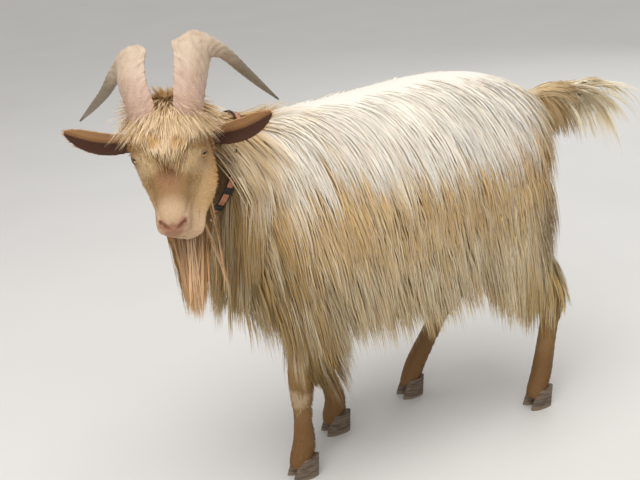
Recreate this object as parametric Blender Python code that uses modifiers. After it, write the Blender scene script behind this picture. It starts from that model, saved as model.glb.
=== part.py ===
"""A life-size standing golden guernsey buck with long coat, beard, swept horns and a leather collar.

Lengths are metres and angles are degrees. The goat faces -X, its left side is -Y and it stands on Z = 0.
The head is shaped in its own frame (X to the nose, Y to its left, Z out of the forehead, origin on the poll).
"""

import math
import random

import bmesh
import bpy
import numpy as np
from mathutils import Matrix, Vector
from mathutils.bvhtree import BVHTree

# Sizes that drive the whole animal
WITHERS = 0.742
RUMP = 0.752
HALF_GIRTH = 0.150
PART_GAP = 0.0003
SKIN_VOXEL = 0.008
WHOLE_TRIANGLES = 2000
LOCK_SINK = 0.009
HAIR_SEED = 11

# How the head sits on the neck
POLL = Vector((-0.430, -0.075, 0.803))
HEAD_TURN = 68.3
HEAD_DROP = 40.0
HEAD_TILT = -0.6
NOSE_REACH = 0.226

# Where each hoof stands, and the joints above it: (x, y, z)
FRONT_LEFT = {"elbow": (-0.215, -0.088, 0.44), "knee": (-0.236, -0.070, 0.205),
              "fetlock": (-0.240, -0.064, 0.078), "toe": (-0.262, -0.062, 0.0)}
FRONT_RIGHT = {"elbow": (-0.190, 0.088, 0.44), "knee": (-0.142, 0.070, 0.205),
               "fetlock": (-0.108, 0.060, 0.078), "toe": (-0.128, 0.058, 0.0)}
HIND_LEFT = {"hip": (0.250, -0.085, 0.56), "stifle": (0.238, -0.108, 0.42), "hock": (0.352, -0.100, 0.262),
             "fetlock": (0.318, -0.100, 0.082), "toe": (0.290, -0.100, 0.0)}
HIND_RIGHT = {"hip": (0.240, 0.085, 0.56), "stifle": (0.180, 0.112, 0.42), "hock": (0.232, 0.104, 0.245),
              "fetlock": (0.122, 0.104, 0.078), "toe": (0.086, 0.104, 0.0)}

CREAM = (0.83, 0.74, 0.60)
GOLD = (0.62, 0.42, 0.22)
GINGER = (0.47, 0.24, 0.10)
HORN = (0.55, 0.42, 0.32)
HOOF = (0.16, 0.12, 0.09)
IRIS = (0.55, 0.38, 0.12)
LEATHER = (0.66, 0.26, 0.14)
BLACK_WEB = (0.02, 0.02, 0.022)
STEEL = (0.62, 0.62, 0.60)


def clear_scene():
    """Starts from an empty scene."""
    for found in list(bpy.data.objects):
        bpy.data.objects.remove(found)


def material(name, colour, roughness, metallic=0.0):
    """A plain Principled finish."""
    made = bpy.data.materials.new(name)
    made.use_nodes = True
    shader = made.node_tree.nodes["Principled BSDF"]
    shader.inputs["Base Color"].default_value = (*colour, 1.0)
    shader.inputs["Roughness"].default_value = roughness
    shader.inputs["Metallic"].default_value = metallic
    return made


def add_object(name, mesh, finish, collection):
    """Links a mesh as a named object."""
    made = bpy.data.objects.new(name, mesh)
    if finish:
        mesh.materials.clear()
        mesh.materials.append(finish)
    collection.objects.link(made)
    return made


def mesh_from(name, bm):
    """A mesh whose faces point out, from a bmesh that is then freed."""
    bmesh.ops.recalc_face_normals(bm, faces=bm.faces)
    mesh = bpy.data.meshes.new(name)
    bm.to_mesh(mesh)
    bm.free()
    return mesh


def spline(stations, count):
    """Rows of numbers on a smooth curve through the stations, evenly spaced by station number."""
    rows = np.array(stations, float)
    padded = np.vstack([2 * rows[0] - rows[1], rows, 2 * rows[-1] - rows[-2]])
    made = []
    for t in np.linspace(0, len(rows) - 1, count):
        i = min(int(t), len(rows) - 2)
        f = t - i
        a, b, c, d = padded[i:i + 4]
        made.append(0.5 * (2 * b + (c - a) * f + (2 * a - 5 * b + 4 * c - d) * f * f
                           + (3 * b - a - 3 * c + d) * f ** 3))
    return np.array(made)


def superellipse(angle, half_width, rise, drop, power):
    """A point of a soft-cornered oval, as (across, up)."""
    c, s = math.cos(angle), math.sin(angle)
    across = math.copysign(abs(c) ** power, c) * half_width
    up = math.copysign(abs(s) ** power, s) * (rise if s > 0 else drop)
    return across, up


def loft(rings):
    """A closed bmesh through rings of points, with flat ends."""
    bm = bmesh.new()
    rows = [[bm.verts.new(p) for p in ring] for ring in rings]
    sides = len(rows[0])
    for below, above in zip(rows, rows[1:]):
        for k in range(sides):
            j = (k + 1) % sides
            bm.faces.new((below[k], below[j], above[j], above[k]))
    bm.faces.new(rows[0])
    bm.faces.new(rows[-1])
    return bm


def limb(stations, count, sides, side_hint=Vector((0, 1, 0)), power=1.0):
    """A lofted tube: each station is x, y, z, half width across, half depth above and below its line."""
    rows = spline(stations, count)
    centres = [Vector(r[:3]) for r in rows]
    rings = []
    for i, row in enumerate(rows):
        along = (centres[min(i + 1, count - 1)] - centres[max(i - 1, 0)]).normalized()
        up = along.cross(side_hint).normalized()
        side = up.cross(along).normalized()
        ring = []
        for k in range(sides):
            across, rise = superellipse(2 * math.pi * k / sides, row[3], row[4], row[5], power)
            ring.append(centres[i] + side * across + up * rise)
        rings.append(ring)
    return loft(rings)


def torso_form():
    """The barrel: x, top, bottom, half width, from brisket to rump."""
    stations = [(-0.338, 0.640, 0.480, 0.045), (-0.316, 0.685, 0.430, 0.088), (-0.266, 0.725, 0.385, 0.116),
                (-0.200, WITHERS, 0.362, 0.130), (-0.100, 0.746, 0.356, 0.140),
                (0.000, 0.752, 0.350, HALF_GIRTH), (0.100, 0.757, 0.352, HALF_GIRTH),
                (0.190, RUMP, 0.378, 0.142), (0.270, 0.735, 0.412, 0.128),
                (0.335, 0.700, 0.455, 0.102), (0.378, 0.655, 0.500, 0.064)]
    sides, widest = 24, 0.50
    rings = []
    for x, top, bottom, half in spline(stations, 22):
        middle = bottom + (top - bottom) * widest
        rings.append([Vector((x, across, middle + up)) for across, up in
                      (superellipse(2 * math.pi * k / sides, half, top - middle, middle - bottom, 0.92)
                       for k in range(sides))])
    return loft(rings)


def neck_form():
    """The neck from inside the shoulders to inside the back of the skull."""
    return limb([(-0.215, 0.000, 0.600, 0.098, 0.115, 0.135), (-0.285, 0.000, 0.640, 0.082, 0.092, 0.112),
                 (-0.345, 0.000, 0.684, 0.066, 0.072, 0.082), (-0.392, -0.006, 0.724, 0.056, 0.060, 0.066),
                 (-0.418, -0.040, 0.742, 0.048, 0.050, 0.050)], 12, 20)


def leg_form(joints, hind):
    """One leg, from inside the body to the coronet over the hoof."""
    toe = Vector(joints["toe"])
    fetlock = Vector(joints["fetlock"])
    coronet = fetlock.lerp(toe, 0.55)
    sole_side = toe + Vector((0.010, 0, 0.020))
    if hind:
        hock = Vector(joints["hock"])
        stifle = Vector(joints["stifle"])
        gaskin = stifle.lerp(hock, 0.55) + Vector((-0.004, 0, 0))
        cannon = hock.lerp(fetlock, 0.45)
        rows = [(*joints["hip"], 0.060, 0.100, 0.090), (*stifle, 0.050, 0.070, 0.075),
                (*gaskin, 0.034, 0.044, 0.042), (*hock, 0.024, 0.032, 0.026), (*cannon, 0.020, 0.024, 0.021)]
    else:
        elbow = Vector(joints["elbow"])
        knee = Vector(joints["knee"])
        arm = elbow.lerp(knee, 0.5)
        cannon = knee.lerp(fetlock, 0.55)
        rows = [(*(elbow + Vector((0, -0.2 * elbow.y, 0.11))), 0.046, 0.070, 0.062),
                (*elbow, 0.042, 0.058, 0.050), (*arm, 0.032, 0.037, 0.034),
                (*knee, 0.025, 0.027, 0.027), (*cannon, 0.019, 0.021, 0.020)]
    rows += [(*fetlock, 0.023, 0.025, 0.024), (*coronet, 0.022, 0.025, 0.024),
             (*sole_side, 0.021, 0.024, 0.022)]
    return limb(rows, 19, 16)


def tail_form():
    """The tail's own flesh and the base of its hair, carried level."""
    return limb([(0.330, 0, 0.645, 0.030, 0.032, 0.032), (0.378, 0, 0.664, 0.026, 0.020, 0.026),
                 (0.425, 0, 0.673, 0.022, 0.013, 0.020), (0.470, 0, 0.668, 0.017, 0.009, 0.014),
                 (0.505, 0, 0.655, 0.009, 0.005, 0.007)], 10, 12)


def evaluated_copy(source):
    """The mesh of an object with its modifiers applied."""
    graph = bpy.context.evaluated_depsgraph_get()
    graph.update()
    return bpy.data.meshes.new_from_object(source.evaluated_get(graph))


def apply_modifiers(target):
    """Bakes an object's modifiers into its mesh."""
    fresh = evaluated_copy(target)
    target.modifiers.clear()
    target.data = fresh


def boolean(target, other, operation, solver="MANIFOLD"):
    """Cuts or joins target with an object or a whole collection, and applies it."""
    step = target.modifiers.new("step", "BOOLEAN")
    step.operation = operation
    step.solver = solver
    if isinstance(other, bpy.types.Collection):
        step.operand_type = "COLLECTION"
        step.collection = other
    else:
        step.object = other
    apply_modifiers(target)


def keep_largest(target):
    """Leaves only the largest closed surface, so a node is one body."""
    bm = bmesh.new()
    bm.from_mesh(target.data)
    left = set(bm.verts)
    islands = []
    while left:
        seed = left.pop()
        island, edge = {seed}, [seed]
        while edge:
            for link in edge.pop().link_edges:
                for vert in link.verts:
                    if vert in left:
                        left.remove(vert)
                        island.add(vert)
                        edge.append(vert)
        islands.append(island)
    islands.sort(key=lambda verts: -sum(f.calc_area() for f in {f for v in verts for f in v.link_faces}))
    for island in islands[1:]:
        bmesh.ops.delete(bm, geom=list(island), context="VERTS")
    bmesh.ops.triangulate(bm, faces=bm.faces)
    bm.to_mesh(target.data)
    bm.free()


def remove(*objects):
    """Deletes helpers."""
    for item in objects:
        bpy.data.objects.remove(item)


def merged(name, forms, collection):
    """One object from several overlapping closed forms."""
    pieces = bpy.data.collections.new(name + "_pieces")
    bpy.context.scene.collection.children.link(pieces)
    base = add_object(name, mesh_from(name, forms[0]), None, collection)
    for n, form in enumerate(forms[1:]):
        add_object(f"{name}_{n}", mesh_from(f"{name}_{n}", form), None, pieces)
    boolean(base, pieces, "UNION")
    remove(*list(pieces.objects))
    bpy.data.collections.remove(pieces)
    return base


def soften(target, triangles):
    """Blends the joins of a merged form into one skin and thins it to a number of triangles."""
    remesh = target.modifiers.new("skin", "REMESH")
    remesh.mode = "VOXEL"
    remesh.voxel_size = SKIN_VOXEL
    smooth = target.modifiers.new("smooth", "SMOOTH")
    smooth.factor = 0.5
    smooth.iterations = 6
    apply_modifiers(target)
    thin = target.modifiers.new("thin", "DECIMATE")
    target.data.calc_loop_triangles()
    thin.ratio = triangles / len(target.data.loop_triangles)
    apply_modifiers(target)


def block(name, low, high, collection, grow=0.0):
    """A box cutter between two corners."""
    bm = bmesh.new()
    bmesh.ops.create_cube(bm, size=1.0)
    for vert in bm.verts:
        for axis in range(3):
            vert.co[axis] = low[axis] - grow if vert.co[axis] < 0 else high[axis] + grow
    return add_object(name, mesh_from(name, bm), None, collection)


def slab(name, point, normal, size, collection, offset=0.0):
    """A thick block that fills the side of a plane that its normal points to."""
    normal = Vector(normal).normalized()
    bm = bmesh.new()
    bmesh.ops.create_cube(bm, size=size)
    turn = normal.to_track_quat("Z", "Y").to_matrix().to_4x4()
    move = Matrix.Translation(Vector(point) + normal * (size / 2 + offset))
    bmesh.ops.transform(bm, matrix=move @ turn, verts=bm.verts)
    return add_object(name, mesh_from(name, bm), None, collection)


def copy_of(source, name, collection):
    """A separate copy of an object and its mesh."""
    made = bpy.data.objects.new(name, source.data.copy())
    made.matrix_world = source.matrix_world.copy()
    collection.objects.link(made)
    return made


def split_off(whole, name, cutter_maker, collection):
    """Takes the part of whole inside a cutter as a new object, and leaves the rest behind a thin gap."""
    part = copy_of(whole, name, collection)
    inner = cutter_maker(-PART_GAP / 2)
    outer = cutter_maker(PART_GAP / 2)
    boolean(part, inner, "INTERSECT")
    boolean(whole, outer, "DIFFERENCE")
    remove(inner, outer)
    keep_largest(part)
    keep_largest(whole)
    return part


class Surface:
    """The bare surface that locks grow from and are kept clear of."""

    def __init__(self, *objects):
        bm = bmesh.new()
        for item in objects:
            bm.from_mesh(item.data)
        self.tree = BVHTree.FromBMesh(bm)
        bm.free()

    def root(self, outside, inside):
        """Where a line from outside to inside first meets the surface, with the normal there."""
        outside, inside = Vector(outside), Vector(inside)
        spot, normal, _, _ = self.tree.ray_cast(outside, (inside - outside).normalized())
        return spot, normal

    def clear(self, point, gap, hug=0.0):
        """The point, pushed out until it stands a gap off the surface, or drawn in to that by a share."""
        spot, normal, _, distance = self.tree.find_nearest(point)
        depth = (point - spot).dot(normal)
        if depth > gap and distance < 0.05:
            return spot + normal * (gap + (depth - gap) * (1 - hug))
        if depth >= gap or distance > 3 * gap and depth > 0:
            return point
        return spot + normal * gap


DOWN = Vector((0, 0, -1))


def drape(surface, spot, normal, flow, length, lift, sag, allowed, steps=3, sway=0.0, hug=0.0):
    """The line of a lock: it leaves the skin along flow, bends down, lies on the body and stops in time."""
    points = [spot - normal * LOCK_SINK, spot + normal * 0.002]
    heading = (Vector(flow).normalized() + normal * 0.25).normalized()
    aside = heading.cross(normal).normalized()
    step = length / steps
    for i in range(1, steps + 1):
        share = i / steps
        heading = (heading.lerp(DOWN, sag * share) + aside * sway * (1 - 1.4 * share)).normalized()
        reached = surface.clear(points[-1] + heading * step, 0.003 + lift * share, hug)
        if not allowed(reached):
            break
        heading = (reached - points[-1]).normalized().lerp(heading, 0.5).normalized()
        points.append(reached)
    return points


def lock_form(points, face, half_width, half_thick):
    """A flat tapered lock along its line: a four-sided blade that comes to a point."""
    bm = bmesh.new()
    rows = []
    last = len(points) - 1
    for i, point in enumerate(points[:-1]):
        along = (points[min(i + 1, last)] - points[max(i - 1, 0)]).normalized()
        side = along.cross(face).normalized()
        out = side.cross(along)
        share = i / last
        wide = half_width * (0.78 + 0.50 * share) * (1 - 0.85 * share ** 4)
        thick = half_thick * (1 - 0.35 * share)
        rows.append([bm.verts.new(point + offset) for offset in
                     (side * wide, out * thick, -side * wide, -out * thick)])
    tip = bm.verts.new(points[-1])
    for below, above in zip(rows, rows[1:]):
        for k in range(4):
            j = (k + 1) % 4
            bm.faces.new((below[k], below[j], above[j], above[k]))
    for k in range(4):
        bm.faces.new((rows[-1][k], rows[-1][(k + 1) % 4], tip))
    bm.faces.new(rows[0])
    return bm


def grow_lock(surface, outside, inside, flow, length, allowed, width=0.018, thick=0.0065, lift=0.016, sag=0.5,
              face=None, sway=0.0, hug=0.0):
    """One lock, rooted where a line from outside to inside meets the body; nothing if it has no room."""
    spot, normal = surface.root(outside, inside)
    if spot is None or not allowed(spot):
        return []
    points = drape(surface, spot, normal, flow, length, lift, sag, allowed, sway=sway, hug=hug)
    if len(points) < 4:
        return []
    return [lock_form(points, Vector(face) if face else normal, width, thick)]


# Rows of locks on each flank: height, first place along the body, how many, length, half width, lean, hug
FLANK_ROWS = ((0.668, -0.232, 7, 0.205, 0.045, 0.15, 0.6), (0.550, -0.275, 8, 0.200, 0.042, 0.10, 0.2),
              (0.445, -0.300, 8, 0.160, 0.038, 0.05, 0.0))
FLANK_STEP = 0.080


def torso_locks(body, rng):
    """Long hair from the spine over the flanks to the belly fringe, over the haunch and behind the thighs."""
    locks = []
    for side in (-1, 1):
        for n in range(6):
            x = -0.215 + n * 0.088
            locks += grow_lock(body, (x, side * 0.040, 1.0), (x, side * 0.030, 0.6), (0.30, side, -0.1),
                               0.175 * rng.uniform(0.9, 1.1), torso_ground, width=0.050, thick=0.009,
                               lift=0.001, sag=0.40, sway=rng.uniform(-0.15, 0.15), hug=0.95)
        for height, first, count, length, half, lean, hug in FLANK_ROWS:
            for n in range(count):
                x = first + n * FLANK_STEP + rng.uniform(-0.010, 0.010)
                outside = (x, side * 0.5, height + rng.uniform(-0.015, 0.015))
                locks += grow_lock(body, outside, (x, 0, outside[2] - 0.06), (0.20, side * lean, -1),
                                   length * rng.uniform(0.88, 1.12), torso_ground, width=half, thick=0.010,
                                   lift=0.012, sway=rng.uniform(-0.25, 0.25), hug=hug)
        for height, across, length in ((0.62, 0.050, 0.18), (0.53, 0.080, 0.21), (0.47, 0.035, 0.18)):
            locks += grow_lock(body, (0.7, side * across, height), (0.2, side * across * 0.8, height),
                               (0.40, side * 0.25, -1), length, torso_ground, width=0.032, thick=0.010,
                               lift=0.018, sway=rng.uniform(-0.15, 0.15))
    for n in range(3):
        x = -0.315 + n * 0.050
        locks += grow_lock(body, (x, 0, 0.1), (x, 0, 0.6), (-0.1, 0, -1), 0.12 + 0.012 * n, torso_ground,
                           width=0.022, thick=0.008, face=(1, 0.2, 0))
    for n in range(3):
        x = -0.01 + n * 0.09
        locks += grow_lock(body, (x, 0.03 * (-1) ** n, 0.1), (x, 0.02 * (-1) ** n, 0.6), (0.2, 0, -1), 0.10,
                           torso_ground, width=0.026, thick=0.008, face=(0.2, 1, 0))
    return locks


def neck_ground(point):
    """True where the neck's hair may hang: in front of the shoulders and behind the collar."""
    return in_neck(point, -0.004) and (point - COLLAR_CENTRE).dot(COLLAR_NORMAL) < -0.014


def neck_locks(body, rng):
    """The mane behind the collar and the bib that hangs over the chest."""
    locks = []
    for height, across, length in ((0.580, (-0.044, 0.0, 0.044), 0.19),
                                   (0.520, (-0.070, -0.024, 0.024, 0.070), 0.20),
                                   (0.455, (-0.046, 0.0, 0.046), 0.16)):
        for y in across:
            locks += grow_lock(body, (-0.6, y, height), (-0.2, y * 0.6, height), (-0.22, y * 3, -1),
                               length * rng.uniform(0.9, 1.1), neck_ground, width=0.031, thick=0.009,
                               lift=0.012,
                               sway=rng.uniform(-0.2, 0.2))
    for side in (-1, 1):
        for x, height, length in ((-0.268, 0.705, 0.17), (-0.290, 0.645, 0.18), (-0.312, 0.590, 0.18),
                                  (-0.275, 0.560, 0.18)):
            locks += grow_lock(body, (x, side * 0.5, height + 0.03), (x, 0, height - 0.02), (0.08, 0, -1),
                               length, neck_ground, width=0.032, thick=0.009, sway=rng.uniform(-0.2, 0.2))
    return locks


def leg_locks(name, joints, body, rng):
    """The hair that hangs from the forearm or the thigh down to the knee or the hock."""
    box = LEG_BOXES[name]

    def ground(point):
        return in_box(point, box, -0.003)

    hind = "hock" in joints
    middle = Vector(joints["hock"] if hind else joints["knee"])
    top = Vector(joints["stifle"] if hind else joints["elbow"])
    side = 1 if middle.y > 0 else -1
    locks = []
    rows = ((0.375, 0.16), (0.305, 0.11)) if hind else ((0.355, 0.16), (0.285, 0.10))
    for height, length in rows:
        share = (top.z - height) / (top.z - middle.z)
        centre = top.lerp(middle, share)
        centre.z = height
        for turn in (-20, 50, 120, 190) if not hind else (0, 75, 150):
            ray = Vector((math.cos(math.radians(turn)), side * math.sin(math.radians(turn)), 0))
            flow = Vector((0.25 if ray.x > 0 else -0.05, side * 0.1, -1))
            locks += grow_lock(body, centre + ray * 0.12, centre, flow, length * rng.uniform(0.85, 1.15),
                               ground, width=0.024, lift=0.009, thick=0.007, sway=rng.uniform(-0.2, 0.2))
    return locks


def tail_locks(body, rng):
    """A fan of long hair that sweeps back from the tail and hooks down at its tip."""
    def ground(point):
        return in_box(point, TAIL_BOX, -0.003)

    locks = []
    for side in (-1, 1):
        for x, length, rise, sag in ((0.408, 0.160, -0.35, 0.42), (0.430, 0.190, 0.05, 0.36),
                                     (0.455, 0.225, 0.08, 0.38), (0.478, 0.190, -0.14, 0.42)):
            height = 0.668 if rise > 0 else 0.662
            locks += grow_lock(body, (x, side * 0.3, height), (x, 0, height), (1, side * 0.07, rise),
                               length * rng.uniform(0.95, 1.05), ground, width=0.027, lift=0.008, sag=sag,
                               thick=0.010, sway=side * 0.10)
    return locks


def forelock(skull, rng):
    """The tuft that falls from between the horns over the forehead."""
    turn = HEAD.to_3x3()
    locks = []
    for x, y, spread, length in ((0.000, 0.017, 0.22, 0.100), (0.000, -0.017, -0.22, 0.100),
                                 (0.014, 0.033, 0.50, 0.078), (0.014, -0.033, -0.50, 0.078),
                                 (0.024, 0.000, 0.02, 0.080)):
        locks += grow_lock(skull, HEAD @ Vector((x, y, 0.1)), HEAD @ Vector((x, y, -0.05)),
                           turn @ Vector((1, spread, 0.1)), length * rng.uniform(0.9, 1.1),
                           lambda point: True, width=0.019, lift=0.009, sag=0.10, thick=0.008,
                           sway=rng.uniform(-0.2, 0.2))
    return locks


def beard(skull, rng):
    """The beard, hung from the whole lower jaw and drawn to a point."""
    locks = []
    tip = Vector((-0.452, -0.160, 0.0))
    for x in (0.200, 0.168, 0.134, 0.100):
        for side in (-1, 1):
            y = side * (0.012 + 0.004 * (x < 0.16))
            root = HEAD @ Vector((x, y, -0.08))
            pull = Vector((tip.x - root.x, tip.y - root.y, 0)) * 2.6
            length = 0.185 - 0.5 * abs(x - 0.150)
            locks += grow_lock(skull, HEAD @ Vector((x, y, -0.25)), HEAD @ Vector((x, y, 0.0)),
                               pull + Vector((0, 0, -1)), length * rng.uniform(0.92, 1.08),
                               lambda point: True, width=0.025, lift=0.010, sag=0.35, thick=0.009,
                               face=HEAD.to_3x3() @ Vector((1.0, side * 0.8, 0)))
    return locks


def fuse(target, locks):
    """Joins locks, as (name, bmesh) pairs, onto their node and keeps it one closed body."""
    if not locks:
        return
    group = bpy.data.collections.new(target.name + "_locks")
    bpy.context.scene.collection.children.link(group)
    for n, form in enumerate(locks):
        add_object(f"{target.name}_lock_{n}", mesh_from("lock", form), None, group)
    boolean(target, group, "UNION")
    remove(*list(group.objects))
    bpy.data.collections.remove(group)
    keep_largest(target)


def grown(source, name, collection, amount=0.00045):
    """A copy whose surface stands a little outside the first, to cut its neighbour clear."""
    made = copy_of(source, name, collection)
    bm = bmesh.new()
    bm.from_mesh(made.data)
    bm.normal_update()
    moves = [vert.normal * amount for vert in bm.verts]
    for vert, move in zip(bm.verts, moves):
        vert.co += move
    bm.to_mesh(made.data)
    bm.free()
    return made


def carve(target, *neighbours, amount=0.00045):
    """Cuts a body clear of its neighbours by a thin gap."""
    for neighbour in neighbours:
        cutter = grown(neighbour, "carver", bpy.context.scene.collection, amount)
        boolean(target, cutter, "DIFFERENCE")
        remove(cutter)
    keep_largest(target)


def head_matrix():
    """Turns the head's own frame into the world."""
    face_left = Matrix.Diagonal((-1, -1, 1)).to_4x4()
    turn = Matrix.Rotation(math.radians(HEAD_TURN), 4, "Z")
    drop = Matrix.Rotation(math.radians(HEAD_DROP), 4, "Y")
    tilt = Matrix.Rotation(math.radians(HEAD_TILT), 4, "X")
    return Matrix.Translation(POLL) @ face_left @ turn @ drop @ tilt


HEAD = head_matrix()


def upright(rise, back, across):
    """A place on the head from how high, how far back and how far out of the poll it is, head held level."""
    s, c = math.sin(math.radians(HEAD_DROP)), math.cos(math.radians(HEAD_DROP))
    return Vector((-s * rise - c * back, across, c * rise - s * back))


def swell(point, centre, reach, push):
    """Moves a point of the skull by a soft bump or hollow."""
    away = Vector([(point[i] - centre[i]) / reach[i] for i in range(3)])
    return Vector(push) * math.exp(-away.length_squared)


SKULL = [(-0.045, -0.032, -0.092, 0.028, 0.040, 0.028), (-0.020, -0.008, -0.116, 0.042, 0.054, 0.040),
         (0.010, 0.004, -0.127, 0.050, 0.060, 0.046), (0.040, 0.007, -0.128, 0.053, 0.063, 0.048),
         (0.070, 0.004, -0.122, 0.052, 0.062, 0.047), (0.095, -0.003, -0.111, 0.045, 0.057, 0.043),
         (0.120, -0.009, -0.099, 0.036, 0.050, 0.038), (0.150, -0.012, -0.088, 0.028, 0.040, 0.032),
         (0.180, -0.014, -0.080, 0.024, 0.034, 0.029), (0.203, -0.017, -0.076, 0.024, 0.034, 0.028),
         (0.219, -0.023, -0.072, 0.021, 0.030, 0.024), (0.228, -0.034, -0.064, 0.012, 0.018, 0.014)]


def skull_ring(x, top, bottom, wide_up, wide_mid, wide_low, sides):
    """A ring of the head, wide at the cheeks, narrower over the brow and under the jaw."""
    ring = []
    for k in range(sides):
        angle = 2 * math.pi * k / sides
        c, s = math.cos(angle), math.sin(angle)
        share = abs(s) ** 1.4
        half = wide_mid + ((wide_up if s > 0 else wide_low) * 1.25 - wide_mid) * share
        middle = (top + bottom) / 2
        point = Vector((x, math.copysign(abs(c) ** 0.85, c) * half,
                        middle + math.copysign(abs(s) ** 0.9, s) * (top - bottom) / 2))
        side = 1 if point.y > 0 else -1
        point += swell(point, (0.074, side * 0.050, -0.014), (0.026, 0.020, 0.016), (0, side * 0.006, 0.004))
        point += swell(point, (0.100, side * 0.045, -0.040), (0.030, 0.020, 0.020), (0, -side * 0.003, 0))
        point += swell(point, (0.060, side * 0.055, -0.085), (0.045, 0.020, 0.030), (0, side * 0.004, 0))
        point += swell(point, (0.190, side * 0.030, -0.055), (0.028, 0.020, 0.020), (0, side * 0.003, 0))
        ring.append(point)
    return ring


def skull_form(count=16, sides=18):
    """The head without ears, horns or hair, in its own frame."""
    return loft([skull_ring(*row, sides) for row in spline(SKULL, count)])


EYE_RADIUS = 0.0125
EYE_PLACE = (0.084, 0.0500, -0.030)


def ball(centre, radii, turn, segments, rings):
    """A squashed, turned ball as a bmesh."""
    bm = bmesh.new()
    bmesh.ops.create_uvsphere(bm, u_segments=segments, v_segments=rings, radius=1.0)
    matrix = Matrix.Translation(centre) @ turn.to_4x4() @ Matrix.Diagonal(radii).to_4x4()
    bmesh.ops.transform(bm, matrix=matrix, verts=bm.verts)
    return bm


def placed(name, form, collection, finish=None):
    """An object from a form in the head's frame, put where the head is."""
    bmesh.ops.transform(form, matrix=HEAD, verts=form.verts)
    return add_object(name, mesh_from(name, form), finish, collection)


def eye_axis(side):
    """Which way an eye looks, in the head's frame."""
    return Vector((0.60, side * 0.74, 0.29)).normalized()


def eye_turn(side):
    """Turns a ball so that its Z runs out of the eye and its X along the opening between the lids."""
    out = eye_axis(side)
    lie = Vector((1, 0, 0.43))
    along = (lie - out * lie.dot(out)).normalized()
    across = out.cross(along)
    return Matrix((along, across, out)).transposed()


def prism(name, outline, half_width, collection):
    """A cutter for the head: an outline in its X and Z, drawn out across it."""
    bm = bmesh.new()
    near = [bm.verts.new((x, -half_width, z)) for x, z in outline]
    far = [bm.verts.new((x, half_width, z)) for x, z in outline]
    count = len(outline)
    bm.faces.new(near)
    bm.faces.new(far)
    for k in range(count):
        j = (k + 1) % count
        bm.faces.new((near[k], near[j], far[j], far[k]))
    return placed(name, bm, collection)


def offset_outline(outline, amount):
    """An outline moved outward by an amount, for a gap along a cut."""
    middle = Vector((sum(p[0] for p in outline), sum(p[1] for p in outline))) / len(outline)
    moved = []
    count = len(outline)
    for k, (x, z) in enumerate(outline):
        before = Vector(outline[k]) - Vector(outline[k - 1])
        after = Vector(outline[(k + 1) % count]) - Vector((x, z))
        normals = []
        for edge in (before, after):
            normal = Vector((edge.y, -edge.x)).normalized()
            if normal.dot(Vector((x, z)) - middle) < 0:
                normal = -normal
            normals.append(normal)
        bisector = (normals[0] + normals[1]).normalized()
        reach = amount / max(0.4, bisector.dot(normals[0]))
        moved.append(tuple(Vector((x, z)) + bisector * reach))
    return moved


JAW_OUTLINE = [(0.158, -0.0565), (0.178, -0.0600), (0.200, -0.0585), (0.260, -0.0585), (0.260, -0.200),
               (0.050, -0.200), (0.050, -0.104), (0.110, -0.084)]


def ear_form(side):
    """A leaf-shaped ear, cupped forward, in the head's frame."""
    root, tip = upright(-0.066, 0.037, side * 0.046), upright(-0.034, 0.009, side * 0.178)
    up_way, back_way = upright(1, 0, 0), upright(0, 1, 0)
    opening = (up_way * -0.38 - back_way * 0.92).normalized()
    along = (tip - root).normalized()
    width_way = along.cross(opening).normalized()
    opening = width_way.cross(along).normalized()
    profile = [(0.0, 0.015, 0.018), (0.18, 0.019, 0.016), (0.38, 0.0225, 0.012), (0.60, 0.0235, 0.010),
               (0.80, 0.0200, 0.007), (0.93, 0.012, 0.004), (1.0, 0.004, 0.001)]
    rings = []
    for share, half, cup in spline(profile, 11):
        centre = root.lerp(tip, share) - up_way * 0.012 * math.sin(math.pi * share)
        inner, outer = [], []
        for n in range(7):
            s = -1 + n / 3
            thick = 0.0042 * (1 - 0.55 * abs(s)) * (1 - 0.3 * share)
            point = centre + width_way * half * s + opening * cup * (s * s - 0.5)
            inner.append(point + opening * thick / 2)
            outer.append(point - opening * thick / 2)
        rings.append(inner + outer[::-1])
    return loft(rings)


# A horn's path as rise, back, out, half width, half thickness, then which way its keel edge looks
HORN_PATH = [(-0.032, -0.012, 0.038, 0.031, 0.020, 0.00, -0.60, -0.80),
             (0.006, -0.005, 0.0415, 0.032, 0.020, 0.00, -0.60, -0.80),
             (0.040, 0.010, 0.0485, 0.034, 0.018, 0.12, -0.58, -0.80),
             (0.082, 0.041, 0.0600, 0.0365, 0.016, 0.56, -0.30, -0.78),
             (0.080, 0.066, 0.0850, 0.0240, 0.014, 0.78, -0.15, -0.55),
             (0.060, 0.092, 0.1090, 0.0145, 0.012, 0.90, 0.05, -0.35),
             (0.022, 0.140, 0.1350, 0.0110, 0.010, 0.90, 0.20, -0.25),
             (-0.022, 0.205, 0.1640, 0.0080, 0.007, 0.90, 0.25, -0.20),
             (-0.072, 0.282, 0.1980, 0.0020, 0.0018, 0.90, 0.25, -0.20)]
# The goat's right horn grew a little lower and closer: changes of rise and out at the same stations
RIGHT_HORN = [(0, 0), (0, -0.001), (0, -0.005), (-0.006, -0.0145), (-0.020, -0.018), (-0.021, -0.021),
              (-0.019, -0.019), (-0.014, -0.012), (-0.005, -0.006)]


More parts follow.
